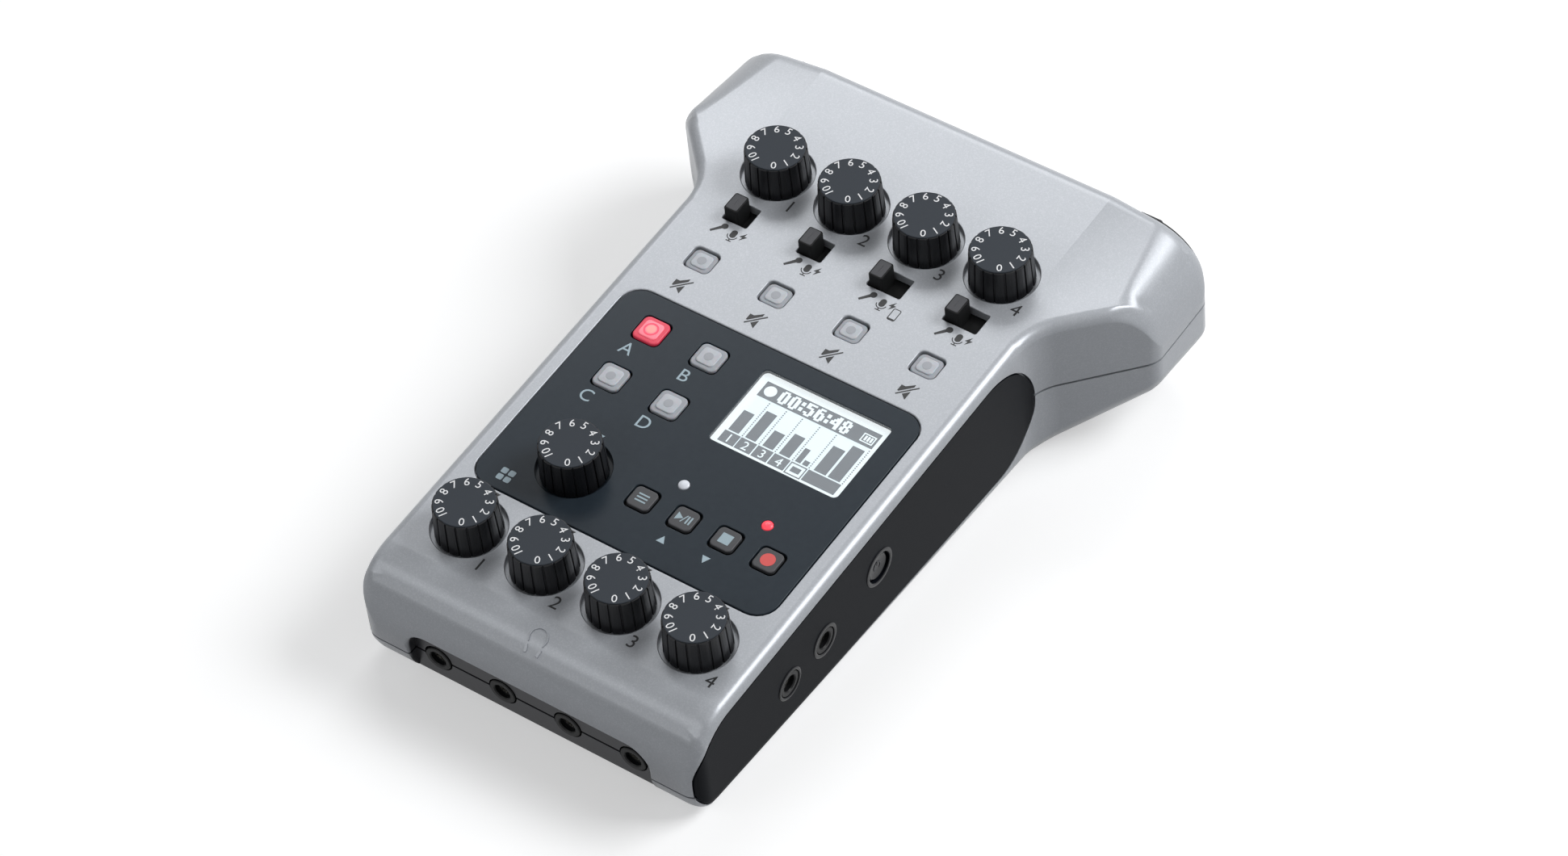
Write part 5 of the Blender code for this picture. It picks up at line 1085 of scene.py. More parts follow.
def casing_pieces():
    top_shell()
    bottom_shell()
    side_panel(1, right_wall_cutters(), "black_right_side", "right_side_panel")
    side_panel(-1, left_wall_cutters(), "black_left_side", "left_side_panel")
    for rim in RIMS:
        raised_ring(*rim)


# Knobs

GRIP_LOBES = 18
LOBE_HALF_TURN = math.radians(9.2)
# A lobe's (radius, height) levels; its foot's reach from the axis; and its flank, as shares of
# the half turn with the reach beyond the level's radius
LOBE_LEVELS = ((6.7, -0.9), (6.46, 4.0), (6.32, 6.9), (6.22, 7.12), (6.0, 7.24))
LOBE_FOOT = 5.2
LOBE_FLANK = ((1.0, -0.30), (0.95, -0.12), (0.86, -0.03), (0.5, 0.0), (0.2, 0.0))
CORE_PROFILE = ((1.6, -8.5), (1.6, -0.9), (6.38, -0.9), (6.05, 6.9), (5.95, 7.2), (5.9, 7.2))
DIAL_TOP = 7.46
DIAL_PROFILE = ((6.02, 6.9), (6.02, 7.32), (5.95, 7.42), (5.8, DIAL_TOP), (2.0, DIAL_TOP), (0.3, DIAL_TOP))
DIAL_NUMBERS, DIAL_MIDDLE_NUMBER, DIAL_STEP, DIAL_NUMBER_RADIUS = 11, 5, 30, 4.8


def lobe():
    """One rounded bar of the knob's grip, standing between two grooves."""
    rings = []
    for radius, height in LOBE_LEVELS:
        sides = [(1.0, LOBE_FOOT)] + [(share, radius + reach) for share, reach in LOBE_FLANK]
        plan = [(-LOBE_HALF_TURN * share, r) for share, r in sides]
        plan += [(LOBE_HALF_TURN * share, r) for share, r in sides[::-1]]
        rings.append([Vector((r * math.cos(turn), r * math.sin(turn), height)) for turn, r in plan])
    return loft(rings)


def dial_numbers():
    """White numbers 0 to 10 around the dial, tops outwards, 5 towards the back."""
    marks = []
    for number in range(DIAL_NUMBERS):
        turn = math.radians(DIAL_STEP * (DIAL_MIDDLE_NUMBER - number))
        place = Matrix.Rotation(-turn, 4, "Z") @ spot(0.0, DIAL_NUMBER_RADIUS, DIAL_TOP)
        marks.append(placed(lettering(str(number), DIAL_NUMBER_HEIGHT), place))
    return gathered(marks)


def knobs():
    parts = (("core", turned(CORE_PROFILE), KNOB_GRIP),
             ("grip", repeated(lobe(), RING_TREE, GRIP_LOBES, KNOB_GRIP), KNOB_GRIP),
             ("dial", turned(DIAL_PROFILE), KNOB_DIAL),
             ("numbers", dial_numbers(), WHITE_INK))
    places = {}
    for i, x in enumerate(COLUMNS):
        places[f"input_gain_knob_{i + 1}"] = (x, GAIN_ROW_Y)
        places[f"headphone_volume_knob_{i + 1}"] = (x, PHONES_ROW_Y)
    places["sound_pad_knob"] = (PAD_KNOB_X, PAD_KNOB_Y)
    for name, (x, y) in places.items():
        show_parts(name, parts, spot(x, y), body=name)


# Print

def lettering(text, height):
    """Print of a text, centred at the origin and as tall as the height."""
    curve = bpy.data.curves.new("print", "FONT")
    curve.body = text
    curve.align_x = "CENTER"
    curve.resolution_u = 4
    mesh = evaluated_mesh(linked("scratch", curve))
    ys = [v.co.y for v in mesh.vertices]
    xs = [v.co.x for v in mesh.vertices]
    scale = height / (max(ys) - min(ys))
    centre = Vector(((max(xs) + min(xs)) / 2, (max(ys) + min(ys)) / 2, 0.0))
    mesh.transform(Matrix.Diagonal((scale, scale, 1.0, 1.0)) @ Matrix.Translation(-centre))
    return thickened(mesh)


def thickened(mesh):
    """A flat mesh raised to a thin solid that stands on Z = 0."""
    bm = bmesh.new()
    bm.from_mesh(mesh)
    bmesh.ops.remove_doubles(bm, verts=bm.verts, dist=PRINT_MERGE)
    for face in bm.faces:
        if face.normal.z < 0:
            face.normal_flip()
    raised = bmesh.ops.extrude_face_region(bm, geom=list(bm.faces))["geom"]
    tops = [v for v in raised if isinstance(v, bmesh.types.BMVert)]
    bmesh.ops.translate(bm, verts=tops, vec=(0.0, 0.0, PRINT))
    bmesh.ops.recalc_face_normals(bm, faces=bm.faces)
    return mesh_of(bm, "print")


def filled(outline):
    """A printed area inside a closed outline."""
    return prism(outline, 0.0, PRINT)


def bar(left, low, right, top):
    """A printed rectangle."""
    return filled([(left, low), (right, low), (right, top), (left, top)])


def stroke(points, width, closed=False):
    """A printed line of even width through points, with mitred corners."""
    points = [Vector(p) for p in points]
    count = len(points)
    left, right = [], []
    for i, here in enumerate(points):
        before = here - points[i - 1] if i or closed else points[1] - here
        after = points[(i + 1) % count] - here if i < count - 1 or closed else before
        normal = (before.normalized() + after.normalized()).normalized()
        normal = Vector((-normal.y, normal.x))
        spread = width / 2 / max(MITRE_LIMIT, normal.dot(Vector((-before.y, before.x)).normalized()))
        left.append(here + normal * spread)
        right.append(here - normal * spread)
    if closed:
        return tube([at_height(side, z)
                     for side, z in ((left, 0.0), (left, PRINT), (right, PRINT), (right, 0.0))])
    return filled(left + right[::-1])


def frame_stroke(left, low, right, top, width):
    """A printed rectangular frame."""
    return stroke([(left, low), (right, low), (right, top), (left, top)], width, closed=True)


def arc(x, y, radius, start, end, steps=12):
    turns = [math.radians(start + (end - start) * k / steps) for k in range(steps + 1)]
    return [(x + radius * math.cos(a), y + radius * math.sin(a)) for a in turns]


def handheld_microphone():
    """A ball-headed microphone, handle down to the left."""
    head = filled(arc(0.95, 1.0, 0.72, 0, 348, 24))
    handle = filled([(0.28, 0.86), (0.82, 0.32), (-0.92, -1.50), (-1.30, -1.16)])
    return gathered([head, handle])


def studio_microphone():
    """A capsule microphone in its cradle on a foot."""
    capsule = filled(arc(0, 0.62, 0.66, 0, 180, 10) + arc(0, -0.12, 0.66, 180, 360, 10))
    cradle = stroke(arc(0, -0.12, 1.08, 185, 355, 12), 0.2)
    stem, foot = bar(-0.11, -1.6, 0.11, -1.1), bar(-0.6, -1.8, 0.6, -1.58)
    return gathered([capsule, cradle, stem, foot])


def power_bolt():
    return filled([(0.3, 1.15), (-0.75, -0.2), (-0.1, -0.2), (-0.35, -1.15), (0.75, 0.25), (0.1, 0.25)])


def handset():
    """A pocket telephone's outline with a bar at its foot."""
    frame_line = stroke(rounded_rectangle(1.6, 2.9, 0.3, 3), 0.18, closed=True)
    return gathered([frame_line, bar(-0.75, -1.4, 0.75, -1.05)])


def muted_speaker():
    """A loudspeaker with a stroke through it, clear of the stroke on both sides."""
    upper = filled([(-1.8, -0.8), (-1.47, -0.8), (0.7, 1.37), (0.7, 2.1), (-0.9, 0.8), (-1.8, 0.8)])
    lower = filled([(-0.53, -1.1), (0.7, -2.1), (0.7, 0.13)])
    return gathered([upper, lower, stroke([(-1.7, -1.65), (1.7, 1.75)], 0.3)])


def knob_pointer(x, y):
    """A small wedge behind a knob's well that points at its dial."""
    half, rise = POINTER_WIDTH / 2, POINTER_HEIGHT / 2
    wedge = filled([(-half, rise), (0.0, -rise), (half, rise)])
    return moved(wedge, x, y + WELL_RADIUS + POINTER_CLEARANCE)


# Places of the marks beside each column's controls: from the column, and in the rows
HANDHELD_PLACE, STUDIO_PLACE, BOLT_PLACE, HANDSET_PLACE = (-2.0, 35.7), (1.6, 35.6), (3.7, 36.1), (5.2, 34.4)
HANDSET_COLUMN = 2
CHANNEL_NUMBER_X = 7.2
CHANNEL_NUMBER_YS = (47.5, PHONES_ROW_Y - 6.3)
MUTE_MARK_PLACE = (0.3, 19.7)


def deck_print():
    """Marks printed in black on the silver deck, one piece for each row."""
    inputs, numbers, mutes, pointers = [], [], [], []
    for i, x in enumerate(COLUMNS):
        marks = [(handheld_microphone(), HANDHELD_PLACE), (studio_microphone(), STUDIO_PLACE),
                 (power_bolt(), BOLT_PLACE)]
        if i == HANDSET_COLUMN:
            marks.append((handset(), HANDSET_PLACE))
        inputs += [moved(mark, x + dx, y) for mark, (dx, y) in marks]
        for y in CHANNEL_NUMBER_YS:
            numbers.append(moved(lettering(str(i + 1), CHANNEL_NUMBER_HEIGHT), x + CHANNEL_NUMBER_X, y))
        mutes.append(moved(muted_speaker(), x + MUTE_MARK_PLACE[0], MUTE_MARK_PLACE[1]))
        pointers += [knob_pointer(x, y) for y in (GAIN_ROW_Y, PHONES_ROW_Y)]
    for name, marks in (("input_marks", inputs), ("channel_numbers", numbers), ("mute_marks", mutes),
                        ("gain_pointers", pointers)):
        show(gathered(marks), name, BLACK_INK)


RELIEF_RISE, RELIEF_ROOT = 0.18, -0.2
RELIEF_Y = -65.0
SIDE_SIGN_OFFSET, SIDE_SIGN_SINK, SIDE_SIGN_SCALE = -5.6, -0.05, 4.0


def draped(mesh):
    """A flat print laid on the curved top of the casing as a low relief."""
    mesh = mesh.copy()
    for vert in mesh.vertices:
        x, y, z = vert.co
        vert.co.z = top_height(x, y) + (RELIEF_RISE if z > PRINT / 2 else RELIEF_ROOT)
    return mesh


def raised_signs():
    """Low relief: headphones on the front curve, a handset by its jack."""
    band = [(x, RELIEF_Y + y) for x, y in arc(0, 0.35, 1.9, -35, 215, 28)]
    cups = [[(side * 1.62, RELIEF_Y - 1.4), (side * 1.28, RELIEF_Y - 2.5)] for side in (-1, 1)]
    marks = [stroke(band, 0.22)] + [stroke(cup, 0.55) for cup in cups]
    show(gathered([draped(mark) for mark in marks]), "headphones_relief", SILVER)
    upright = spot(SIDE_SIGN_OFFSET, 0.0, SIDE_SIGN_SINK) @ Matrix.Rotation(math.pi / 2, 4, "Z")
    sign = placed(placed(handset(), upright), Matrix.Diagonal((1.0, 1.0, SIDE_SIGN_SCALE, 1.0)))
    show(placed(sign, in_side(SMARTPHONE_JACK_Y, SIDE_JACK_DEPTH)), "handset_relief", BLACK_GLOSS)


PAD_CORNERS = {"a": (-1, 1), "b": (1, 1), "c": (-1, -1), "d": (1, -1)}
PAD_LETTER_SHIFT = (-1.6, -6.0)
ARROW_HALF_WIDTH, ARROW_HALF_HEIGHT, ARROW_SHIFT = 0.9, 0.85, (-0.8, -6.0)
TILE_SIZE, TILE_CORNER, TILE_HALF_PITCH, TILES_SHIFT = 1.35, 0.3, 0.85, (-10.1, -8.2)


def pad_places():
    """The four pads' letters and their places."""
    half = PAD_PITCH / 2
    return {letter: (PAD_KNOB_X + sx * half, PAD_ROW_Y + sy * half)
            for letter, (sx, sy) in PAD_CORNERS.items()}


def panel_print():
    """Pale marks on the control panel."""
    marks = []
    for letter, (x, y) in pad_places().items():
        mark = lettering(letter.upper(), PAD_LETTER_HEIGHT)
        marks.append(moved(mark, x + PAD_LETTER_SHIFT[0], y + PAD_LETTER_SHIFT[1]))
    for x, flip in ((KEY_XS[1], 1), (KEY_XS[2], -1)):
        rise = ARROW_HALF_HEIGHT * flip
        arrow = filled([(-ARROW_HALF_WIDTH, -rise), (ARROW_HALF_WIDTH, -rise), (0.0, rise)][::flip])
        marks.append(moved(arrow, x + ARROW_SHIFT[0], KEY_ROW_Y + ARROW_SHIFT[1]))
    marks.append(knob_pointer(PAD_KNOB_X, PAD_KNOB_Y))
    tile = filled(rounded_rectangle(TILE_SIZE, TILE_SIZE, TILE_CORNER, 3))
    x, y = PAD_KNOB_X + TILES_SHIFT[0], PAD_KNOB_Y + TILES_SHIFT[1]
    marks += [moved(tile, x + TILE_HALF_PITCH * sx, y + TILE_HALF_PITCH * sy)
              for sx in (-1, 1) for sy in (-1, 1)]
    show(gathered(marks), "panel_marks", PALE_INK)


# Keys and pads

STEM_WIDTH, STEM_CORNER, STEM_LOW = 2.6, 0.5, -8.0
FLANGE_REACH, FLANGE_LOW, FLANGE_TOP = 0.9, 1.1, 0.3
MUTE_SIZE, MUTE_TOP, MUTE_CEILING = (5.6, 5.3), -0.15, -2.0
PAD_SIZE, PAD_TOP, PAD_CEILING, LIT_PAD = (6.0, 6.0), 0.6, -1.0, "a"
# A rubber key's outer cap and its crown, as depths below the top, edge radii and crowning
CAP_FOOT, CAP_LOW, CAP_TOP, CAP_EDGE, CAP_CROWN = 0.9, 0.95, 0.25, 0.35, 0.05
CROWN_SHARE, CROWN_CORNER, CROWN_LOW, CROWN_EDGE, CROWN_CROWN = 0.70, 0.95, 0.6, 0.28, 0.06
RING_PROFILE = ((1.15, -0.2), (1.62, -0.2), (1.55, 0.012), (1.2, 0.012))
SPOT_PROFILE = ((1.0, -0.2), (0.98, 0.01), (0.7, 0.02), (0.1, 0.025))
# Each selector's plate and cap: (width, length, corner, height) from stem to top
CAP_STEM = ((2.6, 2.6, 0.4, -5.9), (2.6, 2.6, 0.4, -3.1))
CAP_PLATE_LENGTH, CAP_PLATE_CORNER, CAP_PLATE_LOW, CAP_PLATE_TOP = 6.8, 0.4, -3.1, -2.3
CAP_LEVELS = ((0.0, 0.45, CAP_PLATE_TOP), (0.0, 0.45, 2.6), (0.12, 0.42, 2.85), (0.5, 0.35, 2.95))
CAP_INLAY_INSET, CAP_INLAY_CORNER, CAP_INLAY_LOW, CAP_INLAY_TOP, CAP_INLAY_EDGE = 0.6, 0.35, 2.6, 3.0, 0.1


def selector_caps():
    """Slider caps: black dust plate and sides, with a grey top set in."""
    inlay = cushion(CAP_WIDTH - CAP_INLAY_INSET, CAP_LENGTH - CAP_INLAY_INSET, CAP_INLAY_CORNER,
                    CAP_INLAY_LOW, CAP_INLAY_TOP, CAP_INLAY_EDGE)
    for i, (left, right) in enumerate(switch_slots()):
        travel = right - left - CAP_WIDTH - 2 * CAP_END_GAP
        width = max(CAP_WIDTH + 2 * travel + 2 * CAP_END_GAP, right - left + travel)
        plate = [(width, CAP_PLATE_LENGTH, CAP_PLATE_CORNER, z) for z in (CAP_PLATE_LOW, CAP_PLATE_TOP)]
        cap = [(CAP_WIDTH - inset, CAP_LENGTH - inset, corner, z) for inset, corner, z in CAP_LEVELS]
        name = f"input_switch_cap_{i + 1}"
        parts = (("body", stepped([*CAP_STEM, *plate, *cap]), BLACK_MATT_AND_GAP_SHADE), ("top", inlay, CAP_GREY))
        show_parts(name, parts, spot(left + CAP_END_GAP + CAP_WIDTH / 2, SWITCH_ROW_Y), body=name)


def skirt(width, length, corner, under, low):
    """The hidden lower part of a sprung key: stem and holding flange."""
    stem, key = (STEM_WIDTH, STEM_WIDTH, STEM_CORNER), (width, length, corner)
    flange = (width + 2 * FLANGE_REACH, length + 2 * FLANGE_REACH, corner)
    levels = ((stem, STEM_LOW), (stem, under - FLANGE_LOW), (flange, under - FLANGE_LOW),
              (flange, under - FLANGE_TOP), (key, under - FLANGE_TOP), (key, low))
    return stepped([(*section, z) for section, z in levels])


def rubber_key(name, x, y, size, top, under, finishes):
    """A silicone key: outer cap, raised inner square and a round spot."""
    width, length = size
    outer, inner, ring, dot = finishes
    cap = cushion(width, length, KEY_CORNER, top - CAP_LOW, top - CAP_TOP, CAP_EDGE, CAP_CROWN)
    crown = cushion(width * CROWN_SHARE, length * CROWN_SHARE, CROWN_CORNER, top - CROWN_LOW, top,
                    CROWN_EDGE, CROWN_CROWN)
    base = skirt(width, length, KEY_CORNER, under, top - CAP_FOOT)
    # The base, seen down in the gap round the key, is drawn matt black: painted shade over silicone
    parts = [("base", base, (BLACK_MATT_AND_GAP_SHADE[0], outer[1])), ("skirt", cap, outer), ("crown", crown, inner)]
    if ring:
        parts.append(("ring", collar([(r, top + z) for r, z in RING_PROFILE]), ring))
    parts.append(("spot", turned([(r, top + z) for r, z in SPOT_PROFILE], 40), dot))
    show_parts(name, parts, spot(x, y), body=name)


def rubber_keys():
    plain = (FROST_OUTER, FROST_INNER, None, FROST_SPOT)
    lit = (LIT_OUTER, LIT_INNER, LIT_RING, LIT_SPOT)
    for i, x in enumerate(COLUMNS):
        rubber_key(f"mute_button_{i + 1}", x, MUTE_ROW_Y, MUTE_SIZE, MUTE_TOP, MUTE_CEILING, plain)
    for letter, (x, y) in pad_places().items():
        look = lit if letter == LIT_PAD else plain
        rubber_key(f"sound_pad_{letter}", x, y, PAD_SIZE, PAD_TOP, PAD_CEILING, look)


KEY_SIZE, KEY_TOP, KEY_CEILING, KEY_BASE_TOP = 5.0, 0.27, -1.0, -0.4
KEY_CAP_CORNER, KEY_CAP_LOW, KEY_CAP_EDGE = 1.1, -0.45, 0.3


def key_glyphs():
    """Marks on the four transport keys: list, play and pause, stop, record."""
    bars = [moved(bar(-1.2, -0.17, 1.2, 0.17), 0, y) for y in (-0.8, 0, 0.8)]
    play = [filled([(-1.65, -0.95), (-0.15, 0.0), (-1.65, 0.95)])]
    play.append(stroke([(-0.3, -0.95), (0.45, 0.95)], 0.22))
    play += [moved(bar(-0.17, -0.95, 0.17, 0.95), x, 0) for x in (0.85, 1.5)]
    stop = [bar(-1.2, -1.2, 1.2, 1.2)]
    record = [filled(arc(0, 0, 1.5, 0, 355, 48))]
    return (("menu_key", bars, KEY_INK), ("play_pause_key", play, KEY_INK), ("stop_key", stop, KEY_INK),
            ("record_key", record, RED_INK))


def transport_keys():
    base = skirt(KEY_SIZE, KEY_SIZE, KEY_CORNER, KEY_CEILING, KEY_BASE_TOP)
    cap = cushion(KEY_SIZE, KEY_SIZE, KEY_CAP_CORNER, KEY_CAP_LOW, KEY_TOP, KEY_CAP_EDGE)
    for x, (name, glyph, ink) in zip(KEY_XS, key_glyphs()):
        # The base, seen down in the gap round the cap, is drawn matt black: painted shade over the key's
        # plastic
        parts = (("base", base, (BLACK_MATT_AND_GAP_SHADE[0], "key_plastic")), ("cap", cap, KEY_CAP),
                 ("glyph", moved(gathered(glyph), 0, 0, KEY_TOP), ink))
        show_parts(name, parts, spot(x, KEY_ROW_Y), body=name)


LAMP_XS = (KEY_ROW_X - KEY_PITCH, KEY_ROW_X + KEY_PITCH)
LAMP_LOW, LAMP_SHOULDER, LAMP_DOME = -9.9, -0.05, 0.42


def lamps():
    """Two light pipes with low domes."""
    turns = [math.radians(a) for a in (20, 40, 60, 80)]
    dome = [(LAMP_RADIUS, LAMP_LOW), (LAMP_RADIUS, LAMP_SHOULDER)]
    dome += [(LAMP_RADIUS * math.cos(a), LAMP_DOME * math.sin(a) + LAMP_SHOULDER) for a in turns]
    for x, name, finish in zip(LAMP_XS, ("status_light_pipe", "record_light_pipe"), (WHITE_LAMP, RED_LAMP)):
        show_parts(name, [("lens", turned(dome, 40), finish)], spot(x, LAMP_ROW_Y))


def control_panel():
    """The slate plate with rolled edges, its openings and the pad knob's cup."""
    levels = [(0.0, -PANEL_THICKNESS)] + rolled_in(PANEL_EDGE, 3)
    plate = levelled(panel_rectangle(0.0, PANEL_CORNER), levels)
    cup_radius = WELL_RADIUS + CUP_WALL
    cup = moved(turned([(cup_radius, -WELL_DEPTH - CUP_WALL), (cup_radius, CUP_TOP)]), PAD_KNOB_X, PAD_KNOB_Y)
    plate = combined(plate, [cup], "UNION")
    cutters = [flared(circle_at(PAD_KNOB_X, PAD_KNOB_Y, WELL_RADIUS), -WELL_DEPTH, PANEL_MOUTH_EDGE)]
    openings = [rectangle_at(x, y, PAD_HOLE, PAD_HOLE, KEY_CORNER) for x, y in pad_places().values()]
    openings += [rectangle_at(x, KEY_ROW_Y, KEY_HOLE, KEY_HOLE, KEY_CORNER) for x in KEY_XS]
    cutters += [flared(outline, -OVERRUN, PANEL_MOUTH_EDGE) for outline in openings]
    cutters += [flared(circle_at(x, LAMP_ROW_Y, LAMP_RADIUS + LAMP_GAP, 40), -OVERRUN, LAMP_MOUTH_EDGE)
                for x in LAMP_XS]
    window = rectangle_at(LCD_X, LCD_Y, LCD_WIDTH + 2 * LCD_GAP, LCD_LENGTH + 2 * LCD_GAP,
                          LCD_CORNER + LCD_GAP)
    plate = combined(plate, cutters + [flared(window, -OVERRUN, LCD_MOUTH_EDGE)])
    show(cleaned(plate), "slate_control_panel", PANEL, stands_for=("control_panel",))


# Display

DIGITS = {
    "0": ("01110", "11011", "11011", "11011", "11011", "11011", "01110"),
    "4": ("00011", "00111", "01111", "11011", "11111", "00011", "00011"),
    "5": ("11111", "11000", "11110", "00011", "00011", "11011", "01110"),
    "6": ("01110", "11000", "11110", "11011", "11011", "11011", "01110"),
    "8": ("01110", "11011", "11011", "01110", "11011", "11011", "01110"),
    ":": ("00", "11", "11", "00", "11", "11", "00"),
}
DIGIT_ROWS, DOT_SHARE = 7, 0.98
CELL_TOP, CELL_SHIFT, PALE_RISE = -1.27, (-0.67, 0.82), 0.035
MODULE_HALF_WIDTH, MODULE_HALF_LENGTH, MODULE_LOW, MODULE_TOP = 16.3, 11.1, -5.1, -1.3
WINDOW_LOW = -1.0
# Level meters: left edge, right edge and top, measured down from the display's top edge
METERS = ((2.4, 4.8, 10.6), (6.3, 8.7, 8.6), (10.3, 12.7, 11.8), (14.1, 16.5, 10.5), (17.8, 19.0, 12.4),
          (19.4, 20.6, 14.9), (22.1, 24.8, 9.2), (25.3, 28.0, 7.3))
METER_FOOT = 16.1
LABELS = ((2.0, 5.6), (5.8, 9.4), (9.7, 13.2), (13.5, 17.1), (21.3, 28.7))
LABEL_TOP, LABEL_FOOT, LABEL_MIDDLE = 16.45, 19.3, 17.9
LABEL_NUMBER_XS, LABEL_NUMBER_HEIGHT = (3.8, 7.6, 11.45, 15.3), 2.0
HEADER = (2.3, 28.8, 2.35, 6.3)
DOTTED_XS = (5.7, 9.6, 13.3, 17.3, 21.1, 28.7)
DOTTED_TOP, DOTTED_COUNT, DOTTED_STEP, DOT_HALF = 6.9, 18, 0.54, 0.13
FRAME_WIDTH = 0.25
# The running time and the record dot in the header: measured down from the display's top edge
TIME_LEFT, TIME_TOP, TIME_WIDTH, TIME_HEIGHT = 6.4, 2.7, 16.2, 3.2
RECORD_X, RECORD_MIDDLE, RECORD_RADIUS = 4.2, 4.3, 1.3
# The fifth label: a frame with a bar in it, and the battery sign: a frame with three bars
SIGN_FRAME, SIGN_BAR = (17.5, -1.45, 20.9, 1.3), (18.2, -0.7, 20.2, 0.6)
CELL_FRAME, CELL_BAR_XS, CELL_BAR_WIDTH, CELL_BAR_TOP, CELL_BAR_FOOT = (
    (25.6, -5.5, 28.2, -3.6), (26.1, 26.75, 27.4), 0.45, 3.95, 5.15)


def dot_text(text, left, top, width, height):
    """Text as display dots."""
    columns = sum(len(DIGITS[letter][0]) + 1 for letter in text) - 1
    across, down = width / columns, height / DIGIT_ROWS
    cells, x = [], left
    for letter in text:
        rows = DIGITS[letter]
        for r, row in enumerate(rows):
            for c, dot in enumerate(row):
                if dot == "1":
                    cells.append((x + c * across, top - (r + 1) * down))
        x += (len(rows[0]) + 1) * across
    dot = bar(0, 0, across * DOT_SHARE, down * DOT_SHARE)
    return gathered([moved(dot, cx, cy) for cx, cy in cells])


def display_bar(left, right, v_top, v_foot):
    """A rectangle on the display, v measured down from its top edge."""
    return bar(left, LCD_TOP - v_foot, right, LCD_TOP - v_top)


def dotted_lines():
    """Upright dotted lines between the level meters."""
    dot = bar(-DOT_HALF, -DOT_HALF, DOT_HALF, DOT_HALF)
    line = repeated(dot, ROW_TREE, DOTTED_COUNT, LCD_DARK, step=(0.0, -DOTTED_STEP, 0.0))
    return gathered([moved(line, x, LCD_TOP - DOTTED_TOP) for x in DOTTED_XS])


def display():
    """Backlit display: header with a running time, level meters and their labels."""
    module = box((LCD_X - MODULE_HALF_WIDTH, LCD_Y - MODULE_HALF_LENGTH, MODULE_LOW),
                 (LCD_X + MODULE_HALF_WIDTH, LCD_Y + MODULE_HALF_LENGTH, MODULE_TOP))
    show(module, "display_module", LCD_CELL, stands_for=("lcd_module",))
    dark = [display_bar(a, b, v, METER_FOOT) for a, b, v in METERS] + [display_bar(*HEADER)]
    dark += [display_bar(a, b, LABEL_TOP, LABEL_FOOT) for a, b in LABELS]
    dark += [moved(mark, 0.0, LCD_TOP - LABEL_MIDDLE)
             for mark in (frame_stroke(*SIGN_FRAME, FRAME_WIDTH), bar(*SIGN_BAR))]
    show(moved(gathered(dark + [dotted_lines()]), *CELL_SHIFT, CELL_TOP), "display_dark_segments", LCD_DARK)
    pale = [dot_text("00:56:48", TIME_LEFT, LCD_TOP - TIME_TOP, TIME_WIDTH, TIME_HEIGHT),
            filled(arc(RECORD_X, LCD_TOP - RECORD_MIDDLE, RECORD_RADIUS, 0, 345, 24))]
    pale += [moved(lettering(str(n + 1), LABEL_NUMBER_HEIGHT), x, LCD_TOP - LABEL_MIDDLE)
             for n, x in enumerate(LABEL_NUMBER_XS)]
    pale.append(moved(frame_stroke(*CELL_FRAME, FRAME_WIDTH), 0.0, LCD_TOP))
    pale += [display_bar(x, x + CELL_BAR_WIDTH, CELL_BAR_TOP, CELL_BAR_FOOT) for x in CELL_BAR_XS]
    show(moved(gathered(pale), *CELL_SHIFT, CELL_TOP + PALE_RISE), "display_pale_segments", LCD_WHITE)
    outline = rectangle_at(LCD_X, LCD_Y, LCD_WIDTH, LCD_LENGTH, LCD_CORNER)
    glass = levelled(outline, [(0.0, WINDOW_LOW)] + rolled_in(GLASS_EDGE, 2))
    show(glass, "display_window", WINDOW, stands_for=("lcd_window",))


# Sockets

JACK_BODY_HALF, JACK_BODY_SIDE, JACK_BODY_LENGTH = 5.0, 3.0, 12.2
JACK_LAP, JACK_BORE_END = 0.4, -11.0
JACK_EDGE, JACK_EDGE_DEPTH, JACK_MOUTH, JACK_MOUTH_DEPTH = 0.15, 0.2, 0.2, 0.25
SPRING_PROFILE = ((1.45, -2.6), (JACK_BORE_RADIUS, -2.6), (JACK_BORE_RADIUS, -1.3), (1.58, -1.3))
HEADPHONE_JACK_HEIGHT, SIDE_JACK_HEIGHT = 5.1, 2.5


def round_jack(name, place, height_up, front):
    """A small jack: barrel, body behind it and a bright spring in its bore."""
    lap = -front - JACK_LAP
    profile = [(JACK_RADIUS, lap), (JACK_RADIUS, -JACK_EDGE_DEPTH), (JACK_RADIUS - JACK_EDGE, 0.0),
               (JACK_BORE_RADIUS + JACK_MOUTH, 0.0), (JACK_BORE_RADIUS, -JACK_MOUTH_DEPTH),
               (JACK_BORE_RADIUS, lap)]
    block = box((-height_up, -JACK_BODY_HALF, -front - JACK_BODY_LENGTH),
                (JACK_BODY_SIDE, JACK_BODY_HALF, -front))
    bore = turned([(JACK_BORE_RADIUS, JACK_BORE_END), (JACK_BORE_RADIUS, OVERRUN)], 56)
    moulding = gathered([collar(profile, 56), combined(block, [bore])])
    show_parts(name, (("moulding", moulding, SOCKET), ("contact", collar(SPRING_PROFILE, 56), BRIGHT)), place)


def jacks():
    upright = Matrix.Rotation(math.pi / 2, 4, "Z").inverted()
    mouth = -FRONT_REACH + SCOOP_DEPTH - JACK_PROUD
    for i, x in enumerate(JACK_XS):
        place = along_y(x, SEAM_DEPTH, mouth, -1) @ upright
        front = SCOOP_BACKING + JACK_PROUD + SEAT_GAP
        round_jack(f"headphone_jack_{i + 1}", place, HEADPHONE_JACK_HEIGHT, front)
    for name, y in (("smartphone_jack", SMARTPHONE_JACK_Y), ("line_out_jack", LINE_JACK_Y)):
        round_jack(name, in_side(y, SIDE_JACK_DEPTH), SIDE_JACK_HEIGHT, WALL + SEAT_GAP)


